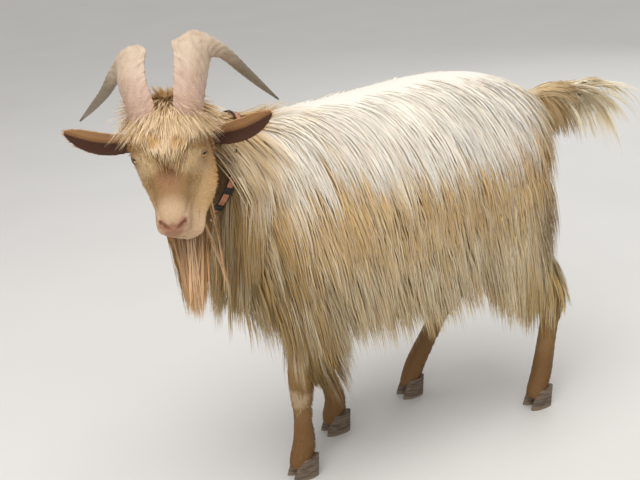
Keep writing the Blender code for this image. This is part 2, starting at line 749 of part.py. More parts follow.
def horn_form(side, count=21):
    """A flat, keeled horn that rises, turns outward and sweeps back and down."""
    path = [list(row) for row in HORN_PATH]
    if side < 0:
        for row, (lower, closer) in zip(path, RIGHT_HORN):
            row[0], row[2] = row[0] + lower, row[2] + closer
    rows = spline(path, count)
    centres = [upright(r[0], r[1], side * r[2]) for r in rows]
    rings = []
    for i, row in enumerate(rows):
        along = (centres[min(i + 1, count - 1)] - centres[max(i - 1, 0)]).normalized()
        keel = upright(row[5], row[6], side * row[7])
        keel = (keel - along * keel.dot(along)).normalized()
        face = along.cross(keel) * side
        ring = []
        for k in range(10):
            angle = 2 * math.pi * k / 10
            c, s = math.cos(angle), math.sin(angle)
            wide = row[3] * (c if c > 0 else 0.86 * c)
            pinch = 1 - 0.55 * max(0.0, c) ** 2
            ring.append(centres[i] + keel * wide + face * row[4] * s * pinch)
        rings.append(ring)
    return loft(rings)


def claw_form(toe, outward, hind):
    """One half of a cloven hoof, with its sole on the ground."""
    length, half = (0.052, 0.0118) if hind else (0.056, 0.0124)
    rings = []
    for z, shift, long_share, wide_share in ((0.0, 0.0, 1.0, 1.0), (0.016, 0.004, 0.92, 0.97),
                                             (0.048, 0.014, 0.68, 0.86)):
        ring = []
        for k in range(10):
            c, s = math.cos(2 * math.pi * k / 10), math.sin(2 * math.pi * k / 10)
            along = -0.5 * length * long_share * math.copysign(abs(c) ** 0.8, c)
            point_in = 1 - 0.42 * max(0.0, c) ** 2
            across = half * wide_share * math.copysign(abs(s) ** 0.8, s) * point_in
            if across * outward < 0:
                across *= 0.80
            ring.append(Vector((toe[0] + 0.014 + shift + along,
                                toe[1] + outward * (0.0128 + 0.0022 * max(0.0, c)) + across, z)))
        rings.append(ring)
    return loft(rings)


COLLAR_CENTRE = Vector((-0.3203, 0.0, 0.6657))
COLLAR_NORMAL = Vector((-0.904, 0.0, 0.427))
COLLAR_SLACK = 0.010
STRAP_WIDTH = 0.015
STRAP_THICK = 0.003


def collar_frame():
    """The collar's own directions: to the goat's right, up over the nape, and along the neck."""
    out = COLLAR_NORMAL.normalized()
    right = Vector((0, 1, 0))
    return right, out.cross(right) * -1, out


def collar_radii(surface, count=36):
    """How far the strap stands from the neck's middle all round: a smooth loop, slack at the throat."""
    right, up, out = collar_frame()
    found = []
    for k in range(count):
        ray = right * math.cos(2 * math.pi * k / count) + up * math.sin(2 * math.pi * k / count)
        reach = 0.0
        for shift in (-0.5, 0.0, 0.5):
            start = COLLAR_CENTRE + out * STRAP_WIDTH * shift
            spot, _ = surface.root(start + ray * 0.2, start)
            reach = max(reach, (spot - start).length)
        found.append(reach)
    smooth = [max(found[(k + d) % count] for d in (-1, 0, 1)) for k in range(count)]
    smooth = [sum(smooth[(k + d) % count] for d in (-2, -1, 0, 1, 2)) / 5 for k in range(count)]
    slack = [COLLAR_SLACK * max(0.0, -math.sin(2 * math.pi * k / count)) ** 1.5 for k in range(count)]
    return [max(a, b) + 0.0012 + loose for a, b, loose in zip(smooth, found, slack)]


def band(radii, low, high, inner, outer, first=None, last=None):
    """A strap, or a length of one, between two radii and two edges."""
    right, up, out = collar_frame()
    count = len(radii)
    closed = first is None
    steps = range(count) if closed else [first + (last - first) * n / 6 for n in range(7)]
    bm = bmesh.new()
    rows = []
    for k in steps:
        angle = 2 * math.pi * k / count
        whole, part = int(math.floor(k)) % count, k - math.floor(k)
        radius = radii[whole] * (1 - part) + radii[(whole + 1) % count] * part
        ray = right * math.cos(angle) + up * math.sin(angle)
        rows.append([bm.verts.new(COLLAR_CENTRE + ray * (radius + r) + out * e)
                     for r, e in ((inner, low), (outer, low), (outer, high), (inner, high))])
    pairs = list(zip(rows, rows[1:])) + ([(rows[-1], rows[0])] if closed else [])
    for before, after in pairs:
        for k in range(4):
            j = (k + 1) % 4
            bm.faces.new((before[k], before[j], after[j], after[k]))
    if not closed:
        bm.faces.new(rows[0])
        bm.faces.new(rows[-1])
    return bm


def collar_spot(radii, k, beyond):
    """A place on the collar by its number round the neck and how far out it is."""
    right, up, _ = collar_frame()
    angle = 2 * math.pi * k / len(radii)
    ray = right * math.cos(angle) + up * math.sin(angle)
    return COLLAR_CENTRE + ray * (radii[int(k) % len(radii)] + beyond), ray


def ring_form(centre, axis, radius, wire, turns=12, sides=5):
    """A closed wire ring."""
    axis = axis.normalized()
    first = axis.orthogonal().normalized()
    second = axis.cross(first)
    bm = bmesh.new()
    rows = []
    for k in range(turns):
        angle = 2 * math.pi * k / turns
        ray = first * math.cos(angle) + second * math.sin(angle)
        rows.append([bm.verts.new(centre + ray * (radius + wire * math.cos(2 * math.pi * j / sides))
                                  + axis * wire * math.sin(2 * math.pi * j / sides)) for j in range(sides)])
    for k in range(turns):
        before, after = rows[k], rows[(k + 1) % turns]
        for j in range(sides):
            i = (j + 1) % sides
            bm.faces.new((before[j], before[i], after[i], after[j]))
    return bm


# Where each node ends: the ground that its hair keeps to
NECK_CUT = (Vector((-0.250, 0.0, 0.740)), Vector((-0.958, 0.0, 0.284)))
LEG_BOXES = {"leg_front_left": ((-0.312, -0.138, -0.010), (-0.100, -0.022, 0.395)),
             "leg_front_right": ((-0.250, 0.022, -0.010), (-0.020, 0.138, 0.395)),
             "leg_hind_left": ((0.140, -0.152, -0.010), (0.402, -0.022, 0.420)),
             "leg_hind_right": ((0.030, 0.022, -0.010), (0.345, 0.152, 0.420))}
TAIL_BOX = ((0.386, -0.075, 0.520), (0.720, 0.075, 0.780))


def in_box(point, box, margin=0.0):
    low, high = box
    return all(low[i] - margin < point[i] < high[i] + margin for i in range(3))


def in_neck(point, margin=0.0):
    return (point - NECK_CUT[0]).dot(NECK_CUT[1]) > -margin


def torso_ground(point):
    """True where the torso's hair may hang."""
    if in_neck(point, 0.004) or in_box(point, TAIL_BOX, 0.004) or point.z < 0.06:
        return False
    return not any(in_box(point, box, 0.004) for box in LEG_BOXES.values())


def keep_grounds(nodes, helpers):
    """Trims hair that strays over a neighbour's ground, so that no two nodes meet."""
    half_gap = PART_GAP / 2
    for name, (low, high) in list(LEG_BOXES.items()) + [("tail", TAIL_BOX)]:
        outer = block("outer", low, high, helpers, half_gap)
        inner = block("inner", low, high, helpers, -half_gap)
        boolean(nodes["torso"], outer, "DIFFERENCE")
        boolean(nodes[name], inner, "INTERSECT")
        keep_largest(nodes[name])
        remove(outer, inner)
    for name, normal in (("torso", NECK_CUT[1]), ("neck", -NECK_CUT[1])):
        beyond = slab("beyond", NECK_CUT[0], normal, 1.4, helpers, -half_gap)
        boolean(nodes[name], beyond, "DIFFERENCE")
        remove(beyond)
        keep_largest(nodes[name])
    carve(nodes["head"], nodes["horn_left"], nodes["horn_right"], nodes["ear_left"], nodes["ear_right"],
          amount=0.0009)


def stand_on_origin(collection):
    """Hangs every node from one empty and moves that, so that the origin is under the middle of the goat."""
    graph = bpy.context.evaluated_depsgraph_get()
    graph.update()
    corners = [vert.co for item in collection.objects for vert in item.data.vertices]
    low = [min(co[i] for co in corners) for i in range(3)]
    high = [max(co[i] for co in corners) for i in range(3)]
    stand = bpy.data.objects.new("stand", None)
    for item in list(collection.objects):
        item.parent = stand
    collection.objects.link(stand)
    stand.location = (-(low[0] + high[0]) / 2, -(low[1] + high[1]) / 2, -low[2])
    bpy.context.view_layer.update()
    return stand.location.copy()


def main():
    clear_scene()
    goat = bpy.data.collections.new("guernsey_goat")
    helpers = bpy.data.collections.new("cutters")
    for group in (goat, helpers):
        bpy.context.scene.collection.children.link(group)

    coat = material("cream_coat", CREAM, 0.85)
    gold_coat = material("golden_coat", GOLD, 0.85)
    leg_coat = material("ginger_leg", GINGER, 0.85)
    horn_finish = material("horn", HORN, 0.5)
    hoof_finish = material("hoof", HOOF, 0.55)
    eye_finish = material("eye", IRIS, 0.08)
    leather = material("tan_leather", LEATHER, 0.55)
    web = material("black_leather", BLACK_WEB, 0.6)
    steel = material("bright_steel", STEEL, 0.3, 1.0)

    # The body is one skin first, then parted into neck, torso, legs and tail
    torso = merged("torso", [torso_form(), neck_form(), leg_form(FRONT_LEFT, False),
                             leg_form(FRONT_RIGHT, False), leg_form(HIND_LEFT, True),
                             leg_form(HIND_RIGHT, True), tail_form()], goat)
    soften(torso, WHOLE_TRIANGLES)
    body = Surface(torso)
    nodes = {}
    for name, (low, high) in LEG_BOXES.items():
        nodes[name] = split_off(torso, name, lambda grow: block("box", low, high, helpers, grow), goat)
    nodes["tail"] = split_off(torso, "tail", lambda grow: block("box", *TAIL_BOX, helpers, grow), goat)
    nodes["neck"] = split_off(torso, "neck", lambda grow: slab("slab", *NECK_CUT, 1.2, helpers, -grow), goat)
    nodes["torso"] = torso

    # The hooves stand under the legs, cut off level at the coronet
    for name, joints, hind in (("front_left", FRONT_LEFT, False), ("front_right", FRONT_RIGHT, False),
                               ("hind_left", HIND_LEFT, True), ("hind_right", HIND_RIGHT, True)):
        below = slab("slab", (joints["toe"][0], 0, 0.0443), (-0.10, 0, -1), 0.5, helpers)
        boolean(nodes["leg_" + name], below, "DIFFERENCE")
        remove(below)
        keep_largest(nodes["leg_" + name])
        for label, outward in (("inner", 1), ("outer", -1)):
            sign = outward if joints["toe"][1] < 0 else -outward
            form = claw_form(joints["toe"], sign, hind)
            claw = add_object(f"hoof_{name}_{label}", mesh_from("claw", form), hoof_finish, goat)
            above = slab("slab", (joints["toe"][0], 0, 0.0440), (0.10, 0, 1), 0.5, helpers)
            boolean(claw, above, "DIFFERENCE")
            remove(above)
            keep_largest(claw)

    # The head, with lids over the eyes
    head = placed("head", skull_form(), goat)
    eyes = []
    lids = bpy.data.collections.new("lids")
    bpy.context.scene.collection.children.link(lids)
    for side, label in ((1, "left"), (-1, "right")):
        centre = Vector((EYE_PLACE[0], side * EYE_PLACE[1], EYE_PLACE[2]))
        radii = Vector((1, 1, 1)) * (EYE_RADIUS + 0.0022)
        placed("lid_" + label, ball(centre, radii, eye_turn(side), 12, 8), lids)
    boolean(head, lids, "UNION")
    remove(*list(lids.objects))
    bpy.data.collections.remove(lids)
    for side, label in ((1, "left"), (-1, "right")):
        centre = Vector((EYE_PLACE[0], side * EYE_PLACE[1], EYE_PLACE[2]))
        opening = ball(centre + eye_axis(side) * 0.013, (0.0088, 0.0050, 0.012), eye_turn(side), 12, 8)
        slit = placed("slit", opening, helpers)
        boolean(head, slit, "DIFFERENCE")
        eyeball = ball(centre, Vector((1, 1, 1)) * EYE_RADIUS, eye_turn(side), 14, 8)
        eye = placed("eye_" + label, eyeball, goat, eye_finish)
        nostril = placed("nostril", ball(Vector((0.2215, side * 0.0135, -0.0345)), (0.0105, 0.0042, 0.0060),
                                         Matrix.Rotation(side * math.radians(-48), 3, "Z"), 12, 8), helpers)
        boolean(head, nostril, "DIFFERENCE")
        remove(slit, nostril)
        eyes.append(eye)
    skull_surface = Surface(head)
    core = copy_of(head, "core", helpers)
    carve(head, *eyes)

    # The lower jaw is parted from the head along the mouth line
    jaw = copy_of(head, "jaw", goat)
    inside = prism("inside", offset_outline(JAW_OUTLINE, -PART_GAP / 2), 0.12, helpers)
    outside = prism("outside", offset_outline(JAW_OUTLINE, PART_GAP / 2), 0.12, helpers)
    boolean(jaw, inside, "INTERSECT")
    boolean(head, outside, "DIFFERENCE")
    remove(inside, outside)
    keep_largest(jaw)
    keep_largest(head)
    nodes["head"], nodes["jaw"] = head, jaw

    # Ears and horns stand on the skull
    for side, label in ((1, "left"), (-1, "right")):
        ear = placed("ear_" + label, ear_form(side), goat, gold_coat)
        horn = placed("horn_" + label, horn_form(side), goat, horn_finish)
        nodes["ear_" + label], nodes["horn_" + label] = ear, horn
    carve(nodes["neck"], core)
    remove(core)

    # The collar lies round the neck, behind the jaw
    radii = collar_radii(body)
    half = STRAP_WIDTH / 2
    strap_band = band(radii, -half, half, 0, STRAP_THICK)
    strap = add_object("collar_strap", mesh_from("strap", strap_band), leather, goat)
    for n, (first, last) in enumerate(((20.4, 21.2), (22.9, 23.7))):
        keeper = band(radii, -half - 0.001, half + 0.001, STRAP_THICK + PART_GAP, STRAP_THICK + 0.0022,
                      first, last)
        add_object(f"collar_keeper_{n + 1}", mesh_from("keeper", keeper), web, goat)
    spot, ray = collar_spot(radii, 24.4, STRAP_THICK + 0.0110)
    ring = ring_form(spot + COLLAR_NORMAL * 0.002, COLLAR_NORMAL.cross(ray), 0.0065, 0.0014)
    add_object("collar_ring", mesh_from("ring", ring), steel, goat)

    # Hair in long locks, joined to what it grows on and kept on its own node's ground
    rng = random.Random(HAIR_SEED)
    fuse(torso, torso_locks(body, rng))
    fuse(nodes["neck"], neck_locks(body, rng))
    fuse(nodes["tail"], tail_locks(body, rng))
    for name, joints in (("leg_front_left", FRONT_LEFT), ("leg_front_right", FRONT_RIGHT),
                         ("leg_hind_left", HIND_LEFT), ("leg_hind_right", HIND_RIGHT)):
        fuse(nodes[name], leg_locks(name, joints, body, rng))
    fuse(nodes["head"], forelock(skull_surface, rng))
    fuse(nodes["jaw"], beard(skull_surface, rng))
    keep_grounds(nodes, helpers)

    for name, node in nodes.items():
        finish = {"head": gold_coat, "jaw": gold_coat, "torso": coat, "neck": gold_coat,
                  "tail": gold_coat}.get(name)
        if name.startswith("leg"):
            finish = leg_coat
        if finish:
            node.data.materials.clear()
            node.data.materials.append(finish)
    return stand_on_origin(goat)


SHIFT = main()
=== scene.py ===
# %% [markdown]
# # A golden guernsey goat
# The real animal is a long-haired dairy goat with a cream and gold coat, broad swept horns and a beard.
# The plain model that is loaded here is its frame: it has the true size and stance, and holds the coat as
# a few broad locks. This lesson dresses it: one skin with a carved face, tens of thousands of fine tufts
# of hair, wrinkled horns, wet eyes and an edged collar. Nothing changes the size of the frame.

# %% Open the frame
import math

import bmesh
import bpy
import numpy as np
from mathutils import Matrix, Vector
from mathutils.bvhtree import BVHTree


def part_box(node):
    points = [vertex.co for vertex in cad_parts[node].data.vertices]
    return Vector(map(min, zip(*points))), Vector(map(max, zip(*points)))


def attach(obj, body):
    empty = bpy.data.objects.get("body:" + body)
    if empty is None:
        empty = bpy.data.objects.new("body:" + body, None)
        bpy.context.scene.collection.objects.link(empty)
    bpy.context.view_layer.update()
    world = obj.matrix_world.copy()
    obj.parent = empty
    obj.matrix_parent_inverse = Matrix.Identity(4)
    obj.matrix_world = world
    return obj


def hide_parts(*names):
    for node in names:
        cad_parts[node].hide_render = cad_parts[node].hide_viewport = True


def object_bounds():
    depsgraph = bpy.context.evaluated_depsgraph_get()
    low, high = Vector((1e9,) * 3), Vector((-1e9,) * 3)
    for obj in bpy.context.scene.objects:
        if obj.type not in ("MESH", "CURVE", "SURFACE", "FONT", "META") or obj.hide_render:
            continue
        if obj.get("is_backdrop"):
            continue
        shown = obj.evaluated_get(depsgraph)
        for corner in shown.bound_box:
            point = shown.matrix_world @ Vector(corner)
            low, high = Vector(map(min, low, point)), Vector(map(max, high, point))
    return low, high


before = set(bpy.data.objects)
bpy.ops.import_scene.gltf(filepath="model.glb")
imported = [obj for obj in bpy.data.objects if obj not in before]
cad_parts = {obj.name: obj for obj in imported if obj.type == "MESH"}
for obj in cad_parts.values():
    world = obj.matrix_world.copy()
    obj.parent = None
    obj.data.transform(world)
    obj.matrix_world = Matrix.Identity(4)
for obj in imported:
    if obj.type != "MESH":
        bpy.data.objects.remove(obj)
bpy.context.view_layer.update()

# %% [markdown]
# ## Where things are
# The goat is built in coordinates of its own: it faces -X, its left is -Y, and the floor is Z = 0. The
# head has a frame of its own again, with X to the nose, Y to its left and Z out of the forehead, because
# a face is far easier to shape level than turned and dropped. The eye of the frame says how far the whole
# goat was moved to stand on the origin.

# %% Head frame and the goat's place
POLL = Vector((-0.430, -0.075, 0.803))
HEAD_TURN, HEAD_DROP, HEAD_TILT = 68.3, 40.0, -0.6
EYE_PLACE = Vector((0.084, 0.0500, -0.030))
EYE_RADIUS = 0.0125
HEAD = (Matrix.Translation(POLL) @ Matrix.Diagonal((-1, -1, 1)).to_4x4()
        @ Matrix.Rotation(math.radians(HEAD_TURN), 4, "Z") @ Matrix.Rotation(math.radians(HEAD_DROP), 4, "Y")
        @ Matrix.Rotation(math.radians(HEAD_TILT), 4, "X"))
UNHEAD = HEAD.inverted()
low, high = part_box("eye_left")
SHIFT = (low + high) / 2 - HEAD @ EYE_PLACE
print("goat stands at", [round(s, 4) for s in SHIFT])


def upright(rise, back, across):
    """A place on the head from how high, how far back and how far out of the poll it is, head held level."""
    s, c = math.sin(math.radians(HEAD_DROP)), math.cos(math.radians(HEAD_DROP))
    return Vector((-s * rise - c * back, across, c * rise - s * back))


def to_head(points):
    """World places, as rows, in the head's frame."""
    turn = np.array(UNHEAD)
    return np.asarray(points) @ turn[:3, :3].T + turn[:3, 3]


# %% [markdown]
# ## Shapes from rings
# Legs, neck, barrel, ears and horns are all tubes whose section changes along them. Modelling them by
# hand would mean pushing single points about, so each is written as a few stations, a smooth curve is run
# through the numbers, and a ring of points is drawn at each step. This is called lofting.

# %% Lofting tools
def spline(stations, count):
    """Rows of numbers on a smooth curve through the stations."""
    rows = np.array(stations, float)
    padded = np.vstack([2 * rows[0] - rows[1], rows, 2 * rows[-1] - rows[-2]])
    made = []
    for t in np.linspace(0, len(rows) - 1, count):
        i = min(int(t), len(rows) - 2)
        f = t - i
        a, b, c, d = padded[i:i + 4]
        made.append(0.5 * (2 * b + (c - a) * f + (2 * a - 5 * b + 4 * c - d) * f * f
                           + (3 * b - a - 3 * c + d) * f ** 3))
    return np.array(made)


def circle(sides):
    """The cosine and sine of evenly spaced angles, once round."""
    return [(math.cos(2 * math.pi * k / sides), math.sin(2 * math.pi * k / sides)) for k in range(sides)]


def blunt(share, power):
    """A cosine or sine pushed outward, so that a circle becomes squarer the lower the power is."""
    return math.copysign(abs(share) ** power, share)


def oval(sides, half_width, rise, drop, power=1.0):
    """A soft-cornered oval, as pairs of (across, up)."""
    return [(blunt(c, power) * half_width, blunt(s, power) * (rise if s > 0 else drop))
            for c, s in circle(sides)]


def loft(rings, shut=False):
    """A closed bmesh through rings of points, with flat ends, or bent round to its start where it is shut."""
    bm = bmesh.new()
    rows = [[bm.verts.new(p) for p in ring] for ring in rings]
    for below, above in zip(rows, rows[1:] + (rows[:1] if shut else [])):
        for k in range(len(below)):
            j = (k + 1) % len(below)
            bm.faces.new((below[k], below[j], above[j], above[k]))
    if not shut:
        bm.faces.new(rows[0])
        bm.faces.new(rows[-1])
    return bm


def limb(stations, count, sides, side_hint=Vector((0, 1, 0))):
    """A tube: each station is x, y, z, half width across, half depth above and below its line."""
    rows = spline(stations, count)
    centres = [Vector(r[:3]) for r in rows]
    rings = []
    for i, row in enumerate(rows):
        along = (centres[min(i + 1, count - 1)] - centres[max(i - 1, 0)]).normalized()
        up = along.cross(side_hint).normalized()
        side = up.cross(along).normalized()
        rings.append([centres[i] + side * across + up * rise for across, rise in oval(sides, *row[3:6])])
    return loft(rings)


# %% [markdown]
# ## Blender tools in plain steps
# A modifier is only a recipe until it is applied. These helpers add one, apply it at once and go on with
# the result: a Boolean to cut or join, and a voxel remesh that melts overlapping forms into one even
# skin.

# %% Mesh tools
def mesh_from(name, bm):
    """A mesh whose faces point out, from a bmesh that is then freed."""
    bmesh.ops.recalc_face_normals(bm, faces=bm.faces)
    mesh = bpy.data.meshes.new(name)
    bm.to_mesh(mesh)
    bm.free()
    return mesh


def add_piece(name, mesh):
    """Links a mesh as an object."""
    made = bpy.data.objects.new(name, mesh)
    bpy.context.scene.collection.objects.link(made)
    return made


def apply_modifiers(piece):
    """Bakes an object's modifiers into its mesh."""
    graph = bpy.context.evaluated_depsgraph_get()
    graph.update()
    fresh = bpy.data.meshes.new_from_object(piece.evaluated_get(graph))
    piece.modifiers.clear()
    piece.data = fresh


def boolean(piece, other, operation):
    """Cuts a piece by another one, or joins them, and throws the other away."""
    step = piece.modifiers.new("step", "BOOLEAN")
    step.operation, step.solver, step.object = operation, "MANIFOLD", other
    apply_modifiers(piece)
    bpy.data.objects.remove(other)


def melted(name, forms, voxel, smoothing):
    """One skin from overlapping closed forms."""
    whole = bmesh.new()
    for form in forms:
        part = mesh_from("part", form)
        whole.from_mesh(part)
    piece = add_piece(name, mesh_from(name, whole))
    remesh = piece.modifiers.new("melt", "REMESH")
    remesh.mode, remesh.voxel_size = "VOXEL", voxel
    smooth = piece.modifiers.new("smooth", "SMOOTH")
    smooth.factor, smooth.iterations = 0.5, smoothing
    apply_modifiers(piece)
    return piece


def points_of(mesh):
    """The places of a mesh's points, as rows."""
    rows = np.zeros(len(mesh.vertices) * 3)
    mesh.vertices.foreach_get("co", rows)
    return rows.reshape(-1, 3)


def normals_of(mesh):
    """Which way each point of a mesh faces, as rows."""
    rows = np.zeros(len(mesh.vertices) * 3)
    mesh.vertices.foreach_get("normal", rows)
    return rows.reshape(-1, 3)


def move_points(mesh, rows):
    """Puts a mesh's points at new places."""
    mesh.vertices.foreach_set("co", np.ascontiguousarray(rows).ravel())
    mesh.update()


def shade_smooth(mesh):
    """Lets light run smoothly over a mesh's faces."""
    mesh.polygons.foreach_set("use_smooth", np.ones(len(mesh.polygons), bool))


def store(mesh, label, values):
    """Keeps a fact with each point of a mesh: one number, or a place where the values are rows of three."""
    values = np.asarray(values)
    kind, field = ("FLOAT_VECTOR", "vector") if values.ndim == 2 else ("FLOAT", "value")
    mesh.attributes.new(label, kind, "POINT").data.foreach_set(field, values.ravel())


def tree_of(mesh):
    """A tree that finds the nearest place on a mesh quickly."""
    return BVHTree.FromPolygons([v.co for v in mesh.vertices], [p.vertices for p in mesh.polygons])


def step_up(value, start, end):
    """0 below start, 1 above end, and a soft ramp between; it runs down where end is below start."""
    share = np.clip((np.asarray(value, float) - start) / (end - start), 0, 1)
    return share * share * (3 - 2 * share)


# %% [markdown]
# ## The body under the coat
# A goat's body is a barrel on four legs. Under a long coat nobody sees the muscles, but the coat hangs
# from them, so the barrel, shoulders and haunches still have to be right. They are lofted one by one and
# then melted together, and the result is drawn in a little to leave room for the coat.

# %% Barrel, neck, legs and tail
WITHERS, RUMP, HALF_GIRTH = 0.742, 0.752, 0.150
# Barrel stations: how far back, top, bottom, half width. Neck and tail: place, half width, depth above, below
BARREL = [(-0.338, 0.640, 0.480, 0.045), (-0.316, 0.685, 0.430, 0.088), (-0.266, 0.725, 0.385, 0.116),
          (-0.200, WITHERS, 0.362, 0.130), (-0.100, 0.746, 0.356, 0.140), (0.000, 0.752, 0.350, HALF_GIRTH),
          (0.100, 0.757, 0.352, HALF_GIRTH), (0.190, RUMP, 0.378, 0.142), (0.270, 0.735, 0.412, 0.128),
          (0.335, 0.700, 0.455, 0.102), (0.378, 0.655, 0.500, 0.064)]
NECK = [(-0.215, 0.000, 0.600, 0.098, 0.115, 0.135), (-0.285, 0.000, 0.640, 0.082, 0.092, 0.112),
        (-0.345, 0.000, 0.684, 0.066, 0.072, 0.082), (-0.392, -0.006, 0.724, 0.056, 0.060, 0.066),
        (-0.418, -0.040, 0.742, 0.048, 0.050, 0.050)]
TAIL = [(0.330, 0, 0.645, 0.030, 0.032, 0.032), (0.378, 0, 0.664, 0.026, 0.020, 0.026),
        (0.425, 0, 0.673, 0.022, 0.013, 0.020), (0.470, 0, 0.668, 0.017, 0.009, 0.014),
        (0.505, 0, 0.655, 0.009, 0.005, 0.007)]
FRONT_LEFT = {"elbow": (-0.215, -0.088, 0.44), "knee": (-0.236, -0.070, 0.205),
              "fetlock": (-0.240, -0.064, 0.078), "toe": (-0.262, -0.062, 0.0)}
FRONT_RIGHT = {"elbow": (-0.190, 0.088, 0.44), "knee": (-0.142, 0.070, 0.205),
               "fetlock": (-0.108, 0.060, 0.078), "toe": (-0.128, 0.058, 0.0)}
HIND_LEFT = {"hip": (0.250, -0.085, 0.56), "stifle": (0.238, -0.108, 0.42), "hock": (0.352, -0.100, 0.262),
             "fetlock": (0.318, -0.100, 0.082), "toe": (0.290, -0.100, 0.0)}
HIND_RIGHT = {"hip": (0.240, 0.085, 0.56), "stifle": (0.180, 0.112, 0.42), "hock": (0.232, 0.104, 0.245),
              "fetlock": (0.122, 0.104, 0.078), "toe": (0.086, 0.104, 0.0)}
LEGS = {"front_left": FRONT_LEFT, "front_right": FRONT_RIGHT,
        "hind_left": HIND_LEFT, "hind_right": HIND_RIGHT}
BARREL_BLUNT = 0.92
BODY_VOXEL, BODY_SMOOTHING = 0.0055, 10


def barrel_form(sides=48):
    """The trunk from brisket to rump."""
    rings = []
    for x, top, bottom, half in spline(BARREL, 50):
        middle = (top + bottom) / 2
        ring = oval(sides, half, top - middle, middle - bottom, BARREL_BLUNT)
        rings.append([Vector((x, across, middle + up)) for across, up in ring])
    return loft(rings)


def leg_form(joints):
    """One leg, from inside the body to the coronet over the hoof."""
    toe, fetlock = Vector(joints["toe"]), Vector(joints["fetlock"])
    coronet = fetlock.lerp(toe, 0.55)
    if "hock" in joints:
        hock, stifle = Vector(joints["hock"]), Vector(joints["stifle"])
        gaskin = stifle.lerp(hock, 0.55) + Vector((-0.004, 0, 0))
        rows = [(*joints["hip"], 0.060, 0.100, 0.090), (*stifle, 0.050, 0.070, 0.075),
                (*gaskin, 0.034, 0.044, 0.042), (*hock, 0.024, 0.032, 0.026),
                (*hock.lerp(fetlock, 0.45), 0.020, 0.024, 0.021)]
    else:
        elbow, knee = Vector(joints["elbow"]), Vector(joints["knee"])
        shoulder = elbow + Vector((0, -0.2 * elbow.y, 0.11))
        rows = [(*shoulder, 0.046, 0.070, 0.062), (*elbow, 0.042, 0.058, 0.050),
                (*elbow.lerp(knee, 0.5), 0.032, 0.037, 0.034), (*knee, 0.025, 0.027, 0.027),
                (*knee.lerp(fetlock, 0.55), 0.019, 0.021, 0.020)]
    rows += [(*fetlock, 0.023, 0.025, 0.024), (*coronet, 0.022, 0.025, 0.024),
             (*(toe + Vector((0.010, 0, 0.020))), 0.021, 0.024, 0.022)]
    return limb(rows, 40, 28)


forms = [barrel_form(), limb(NECK, 30, 40), limb(TAIL, 24, 20)]
forms += [leg_form(joints) for joints in LEGS.values()]
hide = melted("hide", forms, BODY_VOXEL, BODY_SMOOTHING)
print("body skin", len(hide.data.polygons), "faces")

# %% [markdown]
# The roots of the hair lie below the outline that the coat makes. So every point of the skin moves in, by
# 7.5 mm where the coat is long and by about 2 mm on the shins.

# %% Draw the skin in under the coat
LONG_DEPTH, SHORT_DEPTH = 0.0075, 0.0018
places = points_of(hide.data)
depth = SHORT_DEPTH + (LONG_DEPTH - SHORT_DEPTH) * step_up(places[:, 2], 0.22, 0.36)
move_points(hide.data, places - normals_of(hide.data) * depth[:, None])
print("skin drawn in by", SHORT_DEPTH, "to", LONG_DEPTH, "m")

# %% [markdown]
# ## The head
# The skull is lofted as well, from the poll to the nose. Its rings are wide at the cheeks and narrow over
# the brow, and soft swells give the brow ridge, the cheek and the muzzle. Ears and the balls that become
# eyelids are melted into it at a finer grain than the body, because the face is what everyone looks at.

# %% Skull
# Stations: how far to the nose, top, bottom, and the half width above, in the middle and below
SKULL = [(-0.045, -0.032, -0.092, 0.028, 0.040, 0.028), (-0.020, -0.008, -0.116, 0.042, 0.054, 0.040),
         (0.010, 0.004, -0.127, 0.050, 0.060, 0.046), (0.040, 0.007, -0.128, 0.053, 0.065, 0.048),
         (0.070, 0.004, -0.122, 0.052, 0.065, 0.047), (0.095, -0.003, -0.111, 0.045, 0.060, 0.044),
         (0.120, -0.009, -0.101, 0.036, 0.052, 0.041), (0.150, -0.012, -0.090, 0.027, 0.0395, 0.033),
         (0.180, -0.014, -0.080, 0.023, 0.0295, 0.026), (0.203, -0.017, -0.076, 0.023, 0.0285, 0.025),
         (0.219, -0.023, -0.072, 0.020, 0.0265, 0.022), (0.228, -0.034, -0.064, 0.012, 0.017, 0.013)]
# Swells: a place on the left of the face, how far it reaches each way, and how it moves the skin
SWELLS = [((0.074, 0.050, -0.014), (0.026, 0.020, 0.016), (0, 0.006, 0.004)),
          ((0.100, 0.045, -0.040), (0.030, 0.020, 0.020), (0, -0.003, 0)),
          ((0.060, 0.055, -0.085), (0.045, 0.020, 0.030), (0, 0.004, 0)),
          ((0.190, 0.028, -0.055), (0.028, 0.020, 0.020), (0, 0.0015, 0)),
          ((0.125, 0.030, -0.010), (0.045, 0.008, 0.020), (0, 0, 0.0035)),
          ((0.150, 0.045, -0.028), (0.040, 0.020, 0.012), (0, -0.003, 0)),
          ((0.130, 0.040, -0.085), (0.045, 0.020, 0.025), (0, 0.005, 0))]


def skull_ring(x, top, bottom, wide_up, wide_mid, wide_low, sides):
    """A ring of the head, wide at the cheeks, narrower over the brow and under the jaw."""
    ring = []
    for c, s in circle(sides):
        half = wide_mid + ((wide_up if s > 0 else wide_low) * 1.25 - wide_mid) * abs(s) ** 1.4
        point = Vector((x, blunt(c, 0.85) * half, (top + bottom) / 2 + blunt(s, 0.9) * (top - bottom) / 2))
        side = 1 if point.y > 0 else -1
        for centre, reach, push in SWELLS:
            away = [(point[i] - centre[i] * (side if i == 1 else 1)) / reach[i] for i in range(3)]
            point += Vector((push[0], side * push[1], push[2])) * math.exp(-sum(a * a for a in away))
        ring.append(point)
    return ring


def eye_axis(side):
    """Which way an eye looks, in the head's frame."""
    return Vector((0.60, side * 0.74, 0.29)).normalized()


